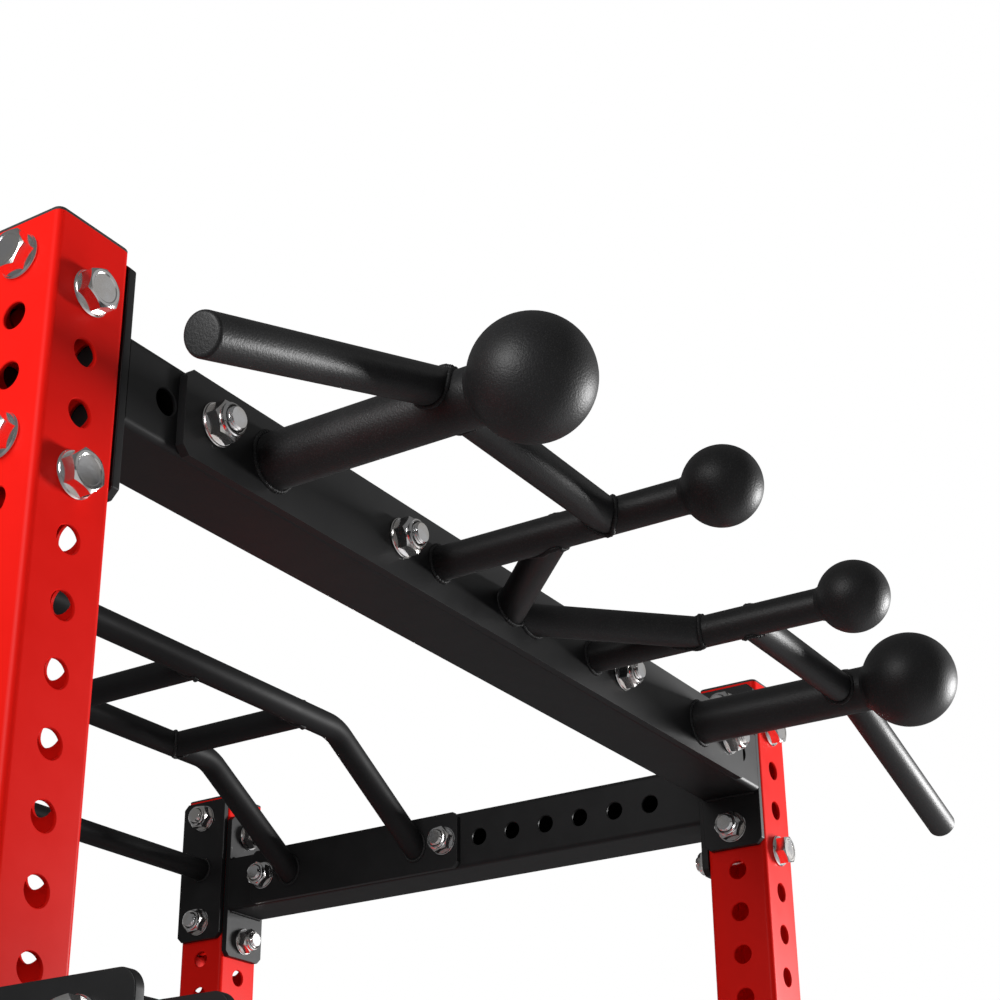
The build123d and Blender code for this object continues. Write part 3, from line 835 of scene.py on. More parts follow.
# ---------------------------------------------------------------- punched tube
@dataclass
class PunchedTube:
    """Square tube with rows of holes in its two pairs of faces."""

    size: float = 75.0
    wall: float = 3.0
    corner: float = 6.0
    hole: float = 22.0
    rim: float = 0.7
    pitch: float = 50.0
    corner_steps: int = 6
    hole_steps: int = 32
    tree: ShapeTree | None = field(default=None, init=False)

    def __post_init__(self) -> None:
        """Builds the node tree once for all the tubes."""
        self.tree = self._plant()

    def _plant(self) -> ShapeTree:
        """The tree: four punched panels, four corners, and a lining in each hole."""
        lengths = ("Size", "Wall", "Corner", "Length", "Hole", "Rim", "Pitch", "Side First", "Front First")
        counts = ("Side Holes", "Front Holes")
        tree = ShapeTree("punched_tube", dict.fromkeys(lengths, float) | dict.fromkeys(counts, int))
        size, wall, corner = tree.given("Size"), tree.given("Wall"), tree.given("Corner")
        length, rim = tree.given("Length"), tree.given("Rim")
        radius, face = tree.given("Hole") * 0.5, size * 0.5
        parts = []
        for pair, turns in (("Side", (0, 2)), ("Front", (1, 3))):
            row = tree.out("GeometryNodeMeshLine", {"mode": "OFFSET"}, {
                "Count": tree.given(f"{pair} Holes"),
                "Start Location": tree.vector(0.0, tree.given(f"{pair} First") - length * 0.5, 0.0),
                "Offset": tree.vector(0.0, tree.given("Pitch"), 0.0)})
            sheet = tree.out("GeometryNodeCurvePrimitiveQuadrilateral", None,
                             {"Width": size - corner * 2, "Height": length})
            panel = []
            for cut, level in ((radius + rim, face), (radius, face - wall)):
                ring = tree.out("GeometryNodeCurvePrimitiveCircle", None,
                                {"Resolution": self.hole_steps, "Radius": cut})
                outline = tree.join([sheet, tree.real(tree.copies(row, ring))])
                skin = tree.out("GeometryNodeFillCurve", {"mode": "TRIANGLES"}, {0: outline})
                panel.append(tree.moved(skin, tree.vector(0.0, 0.0, level)))
            chamfer = tree.out("GeometryNodeMeshCone", {"fill_type": "NONE"}, {
                "Vertices": self.hole_steps, "Depth": rim,
                "Radius Top": radius + rim, "Radius Bottom": radius})
            bore = tree.out("GeometryNodeMeshCylinder", {"fill_type": "NONE"}, {
                "Vertices": self.hole_steps, "Radius": radius, "Depth": wall - rim})
            lining = tree.join([tree.moved(chamfer, tree.vector(0.0, 0.0, face - rim)),
                                tree.moved(bore, tree.vector(0.0, 0.0, face - (wall + rim) * 0.5))])
            panel.append(tree.real(tree.copies(row, lining)))
            whole, lift = tree.join(panel), tree.vector(0.0, 0.0, length * 0.5)
            parts += [tree.moved(whole, lift, (math.pi / 2, 0.0, math.pi / 2 * (1 + turn))) for turn in turns]
        sweep = {"Resolution": self.corner_steps + 1, "Start Angle": 0.0, "Sweep Angle": math.pi / 2}
        arcs = [tree.out("GeometryNodeCurveArc", {"mode": "RADIUS"}, {**sweep, "Radius": bend})
                for bend in (corner, corner - wall)]
        edge = tree.out("GeometryNodeCurveToMesh", None, {0: tree.join(arcs)})
        strip = tree.out("GeometryNodeExtrudeMesh", {"mode": "EDGES"}, {
            0: edge, "Offset": tree.vector(0.0, 0.0, 1.0), "Offset Scale": length})
        placed = tree.moved(strip, tree.vector(face - corner, face - corner, 0.0))
        parts += [tree.moved(placed, (0.0, 0.0, 0.0), (0.0, 0.0, math.pi / 2 * turn)) for turn in range(4)]
        tree.close(tree.join(parts))
        return tree

    def make(self, node: str, finish: Finish, start: Point, direction: Point, across: Point, length: float,
             side: tuple[int, float] = (0, 0.0), front: tuple[int, float] = (0, 0.0)) -> None:
        """One tube that stands for a node.

        Args:
            node: The CAD node.
            finish: Its paint.
            start: The middle of its first end, in millimetres.
            direction: Which way it runs.
            across: Which way its side faces look.
            length: Its length in millimetres.
            side: How many holes its side faces have, and where the first is.
            front: The same for its other two faces.
        """
        sizes = {"Size": self.size, "Wall": self.wall, "Corner": self.corner, "Length": length,
                 "Hole": self.hole, "Rim": self.rim, "Pitch": self.pitch,
                 "Side First": side[1], "Front First": front[1]}
        inputs: dict[str, object] = {label: value * MM for label, value in sizes.items()}
        inputs |= {"Side Holes": side[0], "Front Holes": front[0]}
        mesh = self.tree.grow(node, made_of("guide", ((0, 0, 0),), ()), inputs)
        with opened(mesh) as work:
            bmesh.ops.remove_doubles(work, verts=work.verts, dist=SEAM)
            for level in (0.0, length * MM):
                rim = [e for e in work.edges
                       if e.is_boundary and all(abs(v.co.z - level) < SEAM for v in e.verts)]
                bmesh.ops.bridge_loops(work, edges=rim)
        x_axis, z_axis = Vector(across), Vector(direction)
        turn = Matrix((x_axis, z_axis.cross(x_axis), z_axis)).transposed().to_4x4()
        mesh.transform(Matrix.Translation(Vector(start) * MM) @ turn)
        weighted(piece(f"{node}_tube", polished(mesh, 25.0), finish, FRAME_BODY, [node]))


# ---------------------------------------------------------------- bars
@dataclass
class RoundBar:
    """Round bar bent along lines, with round bends."""

    steps: int = 40
    bend_steps: int = 14
    tree: ShapeTree | None = field(default=None, init=False)

    def __post_init__(self) -> None:
        """Builds the node tree once for all the bars."""
        tree = ShapeTree("round_bar", {"Diameter": float, "Bend": float})
        line = tree.out("GeometryNodeMeshToCurve", None, {0: tree.source.outputs["Geometry"]})
        bent = tree.out("GeometryNodeFilletCurve", {"mode": "POLY"}, {
            0: line, "Count": self.bend_steps, "Radius": tree.given("Bend"), "Limit Radius": True})
        ring = tree.out("GeometryNodeCurvePrimitiveCircle", None,
                        {"Resolution": self.steps, "Radius": tree.given("Diameter") * 0.5})
        tree.close(tree.out("GeometryNodeCurveToMesh", None,
                            {0: bent, "Profile Curve": ring, "Fill Caps": True}))
        self.tree = tree

    def swept(self, name: str, runs: Sequence[Sequence[Point]], diameter: float,
              bend: float = 0.0) -> bpy.types.Mesh:
        """Bars along polylines.

        Args:
            name: The mesh's name.
            runs: Each bar's points in millimetres.
            diameter: Their diameter in millimetres.
            bend: The radius of the bends' centre line.

        Returns:
            The closed meshes as one.
        """
        mesh = self.tree.grow(name, lines(runs), {"Diameter": diameter * MM, "Bend": bend * MM})
        return polished(mesh, ROUND_SHARP)


# ---------------------------------------------------------------- fasteners
@dataclass(frozen=True)
class Seat:
    """Where a fastener's flange sits, and which way its shank or body goes from there."""

    place: Point
    direction: Point

    def across(self, grip: float) -> "Seat":
        """The nut's seat, on the far side of what the bolt clamps."""
        return Seat(tuple(p + d * grip for p, d in zip(self.place, self.direction)), self.direction)


@dataclass
class Fasteners:
    """Flanged hex bolts and flanged lock nuts, set out on seats by a node tree."""

    diameter: float = 20.0
    flange: float = 37.0
    flange_height: float = 3.0
    across_flats: float = 30.0
    head_height: float = 12.0
    nut_height: float = 16.0
    tail: float = 4.0
    thread_pitch: float = 2.5
    thread_depth: float = 1.1
    # Round a flange's rim: how far inside its edge, and how high.
    head_rim: Profile = ((0.5, 0.0), (0.0, 0.5), (0.0, 1.3), (0.5, 1.7))
    nut_rim: Profile = ((0.5, 0.0), (0.0, 0.5), (0.0, 1.3), (0.6, 1.8))
    # The foot of a hexagon, the crown of a head and the collar of a nut: share of half the width
    # across the flats, and how far below the top.
    head_foot: float = 1.16
    nut_foot: float = 1.17
    crown: Profile = ((0.95, 0.0), (0.80, 0.0), (0.74, -0.5))
    collar: Profile = ((0.945, 4.4), (0.935, 4.0), (0.93, 1.4), (0.88, 0.4), (0.80, 0.0), (0.75, 0.5),
                       (0.74, 1.6))
    collar_height: float = 4.5
    corner_cut: float = 0.95         # where the cone that cuts the corners back starts
    ring_seat: float = 1.7           # the locking ring's seat below the nut's top
    ring_share: float = 0.74
    clearance: float = 0.1
    hex_steps: int = 36
    round_steps: int = 24
    seed: int = 11
    tree: ShapeTree | None = field(default=None, init=False)

    def __post_init__(self) -> None:
        """Builds the tree that sets a fastener out on seats."""
        tree = ShapeTree("fasteners", {"Pattern": bpy.types.Object, "Seed": int})
        aim = tree.out("GeometryNodeInputNamedAttribute", {"data_type": "FLOAT_VECTOR"}, {"Name": "aim"})
        facing = tree.out("FunctionNodeAlignRotationToVector", {"axis": "Z"}, {"Vector": aim})
        angle = tree.out("FunctionNodeRandomValue", {"data_type": "FLOAT"},
                         {"Min_001": 0.0, "Max_001": math.pi / 3, "Seed": tree.given("Seed")})
        spin = tree.out("FunctionNodeAxisAngleToRotation", None, {"Axis": (0.0, 0.0, 1.0), "Angle": angle})
        turn = tree.out("FunctionNodeRotateRotation", {"rotation_space": "LOCAL"},
                        {"Rotation": facing, "Rotate By": spin})
        pattern = tree.out("GeometryNodeObjectInfo", None, {"Object": tree.given("Pattern")}, "Geometry")
        tree.close(tree.copies(tree.source.outputs["Geometry"], pattern, {"Rotation": turn}))
        self.tree = tree

    @property
    def half(self) -> float:
        """Half the width across the flats."""
        return self.across_flats / 2

    @property
    def nut_top(self) -> float:
        """A nut's height over its seat."""
        return self.flange_height + self.nut_height

    def _rim(self, rim: Profile, foot: float) -> list[list[Point]]:
        """Rings round a flange's rim and up to the foot of its hexagon."""
        levels = [(self.flange / 2 - inside, rise) for inside, rise in rim]
        return self._circles([*levels, (self.half * foot, self.flange_height)])

    def _circles(self, profile: Profile) -> list[list[Point]]:
        """Rings from pairs of radius and level."""
        return [circle(radius, level, self.hex_steps) for radius, level in profile]

    def _hexagon(self, top: float) -> list[list[Point]]:
        """A hexagon's two rings.

        Args:
            top: The height that its sides would reach, in millimetres.

        Returns:
            The ring at its foot, and the one at its top, where a cone has cut its corners back.
        """
        foot, cut_back, sixth = [], [], math.pi / 3
        for i in range(self.hex_steps):
            angle = FULL_TURN * i / self.hex_steps
            radius = self.half / math.cos((angle + sixth / 2) % sixth - sixth / 2)
            x, y = radius * math.cos(angle), radius * math.sin(angle)
            foot.append((x, y, self.flange_height))
            cut_back.append((x, y, top - (radius - self.half * self.corner_cut) * math.tan(sixth / 2)))
        return [foot, cut_back]

    def _thread(self, start: float, end: float, rows_per_pitch: int = 5) -> list[list[Point]]:
        """Rings of a helical thread, chamfered at its far end.

        Args:
            start: Where the thread starts up the shank, in millimetres.
            end: Where it ends.
            rows_per_pitch: Rings for each turn of the thread.

        Returns:
            The rings.
        """
        root = self.diameter / 2 - self.thread_depth
        rings, count = [], int((end - start) / self.thread_pitch * rows_per_pitch)
        for row in range(count + 1):
            level = start + (end - start) * row / count
            ring = []
            for i in range(self.round_steps):
                angle = FULL_TURN * i / self.round_steps
                wave = abs(((level / self.thread_pitch - i / self.round_steps) % 1.0) * 2 - 1)
                chamfer = root - 0.2 + max(0.0, end - level) * 0.9
                radius = min(root + self.thread_depth * wave, chamfer)
                ring.append((radius * math.cos(angle), radius * math.sin(angle), level))
            rings.append(ring)
        return rings

    def _bolt(self, grip: float) -> bpy.types.Mesh:
        """A bolt whose flange sits on z = 0, with its shank up z.

        Args:
            grip: What it clamps, in millimetres.

        Returns:
            The mesh of head, shank and threaded tail.
        """
        radius, top = self.diameter / 2, self.flange_height + self.head_height
        head = self._circles([(radius * 0.8, 0.15)]) + self._rim(self.head_rim, self.head_foot)
        head += self._hexagon(top)
        head += self._circles([(self.half * share, top + rise) for share, rise in self.crown])
        down = [[(x, y, -z) for x, y, z in ring] for ring in head]
        start, end = grip + self.nut_top - 1.0, grip + self.nut_top + self.tail
        shank = [circle(radius * 0.97, level, self.round_steps) for level in (0.0, start)]
        shank += self._thread(start, end)
        shank.append(circle(radius - self.thread_depth - 0.9, end, self.round_steps))
        return joined("bolt", [lofted("head", down, True), lofted("shank", shank, True)])

    def _nut(self) -> bpy.types.Mesh:
        """A flanged nut on z = 0, with the round collar that holds its locking ring."""
        bore, top = self.diameter / 2 + self.clearance, self.nut_top
        rings = self._circles([(bore, 0.0)]) + self._rim(self.nut_rim, self.nut_foot)
        rings += self._hexagon(top - self.collar_height)
        rings += self._circles([(self.half * share, top - drop) for share, drop in self.collar])
        return lofted("nut", rings + self._circles([(bore, top - self.ring_seat)]), False)

    def _ring(self) -> bpy.types.Mesh:
        """The plastic locking ring inside a nut's collar."""
        outer, inner = self.half * self.ring_share, self.diameter / 2 + self.clearance
        profile = ((inner, self.ring_seat), (outer, self.ring_seat), (outer, 0.9),
                   ((outer + inner) / 2, 0.7), (inner, 1.0))
        rings = self._circles([(radius, self.nut_top - drop) for radius, drop in profile])
        return lofted("ring", rings, False)

    def _set_out(self, name: str, pattern: bpy.types.Mesh, seats: Sequence[Seat], finish: Finish,
                 stands_for: Sequence[str]) -> None:
        """Copies of one fastener, as one piece.

        Args:
            name: The piece's name.
            pattern: The fastener's mesh on z = 0.
            seats: Where each goes, in millimetres.
            finish: Its plating.
            stands_for: The CAD nodes that it is shown in place of.
        """
        guide = made_of("seats", metres(s.place for s in seats), ())
        aim = guide.attributes.new("aim", "FLOAT_VECTOR", "POINT")
        aim.data.foreach_set("vector", [c for s in seats for c in s.direction])
        carrier = bpy.data.objects.new("pattern", pattern)
        bpy.context.scene.collection.objects.link(carrier)
        self.seed += 1
        inputs = {"Pattern": carrier, "Seed": self.seed, "Material": finish.material()}
        mesh = self.tree.grow(name, guide, inputs)
        bpy.data.objects.remove(carrier)
        piece(name, mesh, finish, FRAME_BODY, stands_for)

    def fasten(self, group: str, seats: Sequence[Seat], grip: float) -> None:
        """Bolts on their seats, and their nuts and locking rings on the far side.

        Args:
            group: What the fasteners hold, as in their nodes' names.
            seats: The bolts' seats.
            grip: What they clamp, in millimetres.
        """
        far = [seat.across(grip) for seat in seats]
        self._set_out(f"{group}_bolts_zinc", self._bolt(grip), seats, ZINC, [f"{group}_bolts"])
        self._set_out(f"{group}_nuts_zinc", self._nut(), far, ZINC, [f"{group}_nuts"])
        self._set_out(f"{group}_nut_rings", self._ring(), far, LINER_PLASTIC, [])


# ---------------------------------------------------------------- welds
@dataclass
class Welds:
    """Beads of weld along joints, each a run of small overlapping scales."""

    width: float = 5.2
    step: float = 1.6
    seed: int = 3
    joint_steps: int = 48            # points round a joint
    runs: dict[str, list[list[np.ndarray]]] = field(default_factory=dict)

    def _plant(self) -> ShapeTree:
        """The tree: points along each run, and a flattened scale on each."""
        tree = ShapeTree("weld_bead", {"Width": float, "Step": float, "Seed": int})
        line = tree.out("GeometryNodeMeshToCurve", None, {0: tree.source.outputs["Geometry"]})
        dots = tree.out("GeometryNodeResampleCurve", {"mode": "LENGTH"},
                        {0: line, "Length": tree.given("Step")})
        tangent = tree.out("GeometryNodeInputTangent")
        turn = tree.out("FunctionNodeAlignRotationToVector", {"axis": "Z"}, {"Vector": tangent})
        scale = tree.number("FunctionNodeRandomValue", {"data_type": "FLOAT"},
                            {"Min_001": 0.86, "Max_001": 1.1, "Seed": tree.given("Seed")})
        scale = scale * tree.given("Width") * 0.5
        bead = tree.out("GeometryNodeMeshIcoSphere", None, {"Radius": 1.0, "Subdivisions": 2})
        flat = tree.vector(scale, scale, scale * 0.75)
        tree.close(tree.copies(dots, bead, {"Rotation": turn, "Scale": flat}))
        return tree

    def along(self, group: str, points: Sequence[Sequence[float]], closed: bool = True) -> None:
        """Keeps a run of weld.

        Args:
            group: Which piece the weld belongs to.
            points: What it runs through, in millimetres.
            closed: Whether it comes back to its start.
        """
        run = [np.array(p, float) for p in points]
        if closed:
            run.append(run[0])
        self.runs.setdefault(group, []).append(run)

    def _round(self, direction: Sequence[float], radius: float) -> Iterator[np.ndarray]:
        """Points round a bar, from its axis."""
        across, up, _ = axes(direction)
        for i in range(self.joint_steps):
            angle = FULL_TURN * i / self.joint_steps
            yield radius * (math.cos(angle) * across + math.sin(angle) * up)

    def on_plane(self, group: str, start: Sequence[float], direction: Sequence[float], diameter: float,
                 normal: Sequence[float]) -> None:
        """Weld where a round bar meets a flat face.

        Args:
            group: Which piece the weld belongs to.
            start: Where the bar's axis meets the face.
            direction: The bar's axis.
            diameter: The bar's diameter.
            normal: The face's direction.
        """
        along, n = axes(direction)[2], np.array(normal, float)
        rims = self._round(direction, diameter / 2 + self.width * 0.12)
        self.along(group, [np.array(start) + rim - along * (rim @ n) / (along @ n) for rim in rims])

    def on_bar(self, group: str, start: Sequence[float], direction: Sequence[float], diameter: float,
               other: Sequence[float], other_direction: Sequence[float], other_diameter: float) -> None:
        """Weld where a round bar meets the side of another.

        Args:
            group: Which piece the weld belongs to.
            start: A point of the bar's axis, outside the other bar.
            direction: The way from there to the other bar.
            diameter: The bar's diameter.
            other: A point of the other bar's axis.
            other_direction: The other bar's axis.
            other_diameter: The other bar's diameter.
        """
        along, far = axes(direction)[2], axes(other_direction)[2]
        d = along - (along @ far) * far
        run = []
        for rim in self._round(direction, diameter / 2 + self.width * 0.1):
            origin = np.array(start) - np.array(other) + rim
            o = origin - (origin @ far) * far
            a, b, c = d @ d, 2 * (o @ d), o @ o - (other_diameter / 2) ** 2
            inside = max(b * b - 4 * a * c, 0.0)
            run.append(np.array(other) + origin + along * (-b - math.sqrt(inside)) / (2 * a))
        self.along(group, run)

    def finish(self, paints: Mapping[str, Finish]) -> None:
        """Makes one piece of each group of runs.

        Args:
            paints: Each group's finish.
        """
        tree = self._plant()
        for group, runs in self.runs.items():
            self.seed += 1
            mesh = tree.grow(group, lines(runs), {"Width": self.width * MM, "Step": self.step * MM,
                                                  "Seed": self.seed, "Material": paints[group].material()})
            mesh.shade_smooth()
            piece(group, mesh, paints[group], FRAME_BODY, ())


# ---------------------------------------------------------------- the cage
class Side(Enum):
    """The two sides of the cage, as the sign of X."""

    LEFT = -1
    RIGHT = 1

    @property
    def label(self) -> str:
        """The side's name in node names."""
        return self.name.lower()


SIDES = tuple(Side)
ENDS = {"front": -1, "rear": 1}
BOTH = (-1, 1)


@dataclass(frozen=True)
class Layout:
    """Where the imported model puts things, in millimetres."""

    upright_x: float
    upright_y: float
    half_width: float
    half_depth: float
    foot_top: float
    length: float
    tube: float
    plate: float
    row_z: float                     # crossmembers that run left to right
    side_z: float                    # crossmembers that run front to back
    lower_row_z: float
    lower_side_z: float
    bolt_rise: float = 75.0

    @classmethod
    def read(cls) -> "Layout":
        """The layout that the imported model's boxes give."""
        low, high = box_mm("upright_rear_right")
        tube = high[0] - low[0]
        rows = [sum(corner[2] for corner in box_mm(node)) / 2 for node in (
            "front_crossmember", "left_crossmember", "lower_rear_crossmember", "lower_left_crossmember")]
        plate = high[0] - tube - box_mm("front_crossmember")[1][0]
        return cls((low[0] + high[0]) / 2, (low[1] + high[1]) / 2, high[0], high[1], low[2],
                   high[2] - low[2], tube, plate, *rows)

    @property
    def grip(self) -> float:
        """What most bolts clamp: one tube and one plate."""
        return self.tube + self.plate


@dataclass
class Uprights:
    """Four punched uprights with their feet and caps."""

    layout: Layout
    tube: PunchedTube
    welds: Welds
    side_row: tuple[int, float] = (45, 30.0)
    front_row: tuple[int, float] = (44, 55.0)
    weld_ring: tuple[float, float, int] = (76.5, 7.0, 4)     # size, corner, steps
    # The lid's and the hollow plug's rings: size inside the tube's or across, and level.
    lid: Profile = ((1.2, 0.0), (0.2, 0.25), (0.0, 0.8), (0.0, 1.9), (0.8, 2.65), (2.6, 3.0), (9.0, 3.0),
                    (11.0, 2.4), (40.0, 2.25))
    plug: Profile = ((61.0, 0.2), (61.0, -12.0), (67.0, -12.0), (68.6, -10.0), (68.6, 0.2))

    def build(self) -> None:
        """Makes the uprights, caps and feet."""
        lay, spots = self.layout, []
        for end, sy in ENDS.items():
            for side in SIDES:
                x, y = side.value * lay.upright_x, sy * lay.upright_y
                spots.append((x, y))
                self.tube.make(f"upright_{end}_{side.label}", RED_PAINT, (x, y, lay.foot_top), (0, 0, 1),
                               (1, 0, 0), lay.length, self.side_row, self.front_row)
        self._caps(spots)
        eased("foot_plates", RED_PAINT, 1.2)
        size, corner, steps = self.weld_ring
        for x, y in spots:
            ring = [(x + px, y + py, lay.foot_top) for px, py, _ in rounded_square(size, corner, 0.0, steps)]
            self.welds.along("foot_welds", dense(ring))

    def _caps(self, spots: Sequence[tuple[float, float]]) -> None:
        """A moulded cap in the top of each upright: eased lid, shallow dish and hollow plug.

        Args:
            spots: The uprights' middles, in millimetres.
        """
        full, top = self.layout.tube, self.layout.foot_top + self.layout.length
        meshes = []
        for x, y in spots:
            lid = [rounded_square(full - inside, min(6.0, (full - inside) / 4), level)
                   for inside, level in self.lid]
            plug = [rounded_square(size, 3.0, level) for size, level in self.plug]
            for rings, capped in ((lid, True), (plug, False)):
                mesh = lofted("cap", rings, capped)
                mesh.transform(Matrix.Translation(Vector((x, y, top)) * MM))
                meshes.append(mesh)
        whole = joined("caps", meshes)
        whole.shade_smooth()
        whole.set_sharp_from_angle(angle=math.radians(ROUND_SHARP))
        piece("upright_caps_moulded", whole, CAP_PLASTIC, FRAME_BODY, ["upright_caps"])


@dataclass
class Crossmembers:
    """Tubes and the straight bar between bolted end plates."""

    layout: Layout
    tube: PunchedTube
    bar: RoundBar
    welds: Welds
    bolts: Fasteners
    straight_bar: float = 30.0
    row_holes: tuple[int, float] = (21, 42.0)
    side_holes: tuple[int, float] = (13, 67.0)
    no_holes: tuple[int, float] = (0, 0.0)
    weld_inset: float = 7.0
    seats: list[Seat] = field(default_factory=list)

    def build(self) -> None:
        """Makes the tubes, the bar, the plates, their welds and their fasteners."""
        lay, weld = self.layout, "crossmember_welds"
        half_row = lay.half_width - lay.tube - lay.plate
        half_side = lay.half_depth - lay.tube - lay.plate
        front, rear = (-lay.upright_y, lay.row_z), (lay.upright_y, lay.row_z)
        low = (lay.upright_y, lay.lower_row_z)
        for node, (y, z), holes in (("front_crossmember", front, self.row_holes),
                                    ("lower_rear_crossmember", low, self.no_holes)):
            self.tube.make(node, BLACK_PAINT, (-half_row, y, z), (1, 0, 0), (0, 1, 0), 2 * half_row, holes)
        for side in SIDES:
            x = side.value * lay.upright_x
            for level, z, holes in (("", lay.side_z, self.side_holes),
                                    ("lower_", lay.lower_side_z, self.no_holes)):
                self.tube.make(f"{level}{side.label}_crossmember", BLACK_PAINT, (x, -half_side, z),
                               (0, 1, 0), (1, 0, 0), 2 * half_side, holes)
                self._plate_welds((x, half_side, z), 1)
                self._seats((x, lay.half_depth, z), 1)
        for y, z in (front, rear, low):
            self._seats((lay.half_width, y, z), 0)
        for y, z in (front, low):
            self._plate_welds((half_row, y, z), 0)
        y, z = rear
        mesh = self.bar.swept("straight_bar", [[(-half_row, y, z), (half_row, y, z)]], self.straight_bar)
        piece("straight_bar_round", mesh, BAR_PAINT, FRAME_BODY, ["straight_pullup_bar"])
        for sign in BOTH:
            self.welds.on_plane(weld, (sign * half_row, y, z), (1, 0, 0), self.straight_bar, (1, 0, 0))
        for name in ("front_crossmember", "straight_bar", "lower_rear", "left_crossmember",
                     "right_crossmember", "lower_left", "lower_right"):
            eased(f"{name}_plates", BLACK_PAINT, 1.0)
        self.bolts.fasten("frame", self.seats, lay.grip)

    def _plate_welds(self, end: Point, way: int) -> None:
        """Weld above and below a tube, at both of its end plates.

        Args:
            end: The middle of the tube's end on the positive side.
            way: The axis that it runs along, 0 for X and 1 for Y.
        """
        half = self.layout.tube / 2
        for sign in BOTH:
            for rise in (-half, half):
                run = []
                for reach in np.linspace(self.weld_inset - half, half - self.weld_inset, 9):
                    place = [end[0], end[1], end[2] + rise]
                    place[way] *= sign
                    place[1 - way] += reach
                    run.append(place)
                self.welds.along("crossmember_welds", run, closed=False)

    def _seats(self, middle: Point, way: int) -> None:
        """Bolt seats on two outer faces of the cage, above and below a tube.

        Args:
            middle: The middle of the face on the positive side, at the tube's height.
            way: The axis across the faces, 0 for X and 1 for Y.
        """
        for sign in BOTH:
            for rise in BOTH:
                place = [middle[0], middle[1], middle[2] + rise * self.layout.bolt_rise]
                place[way] *= sign
                direction = [0, 0, 0]
                direction[way] = -sign
                self.seats.append(Seat(tuple(place), tuple(direction)))


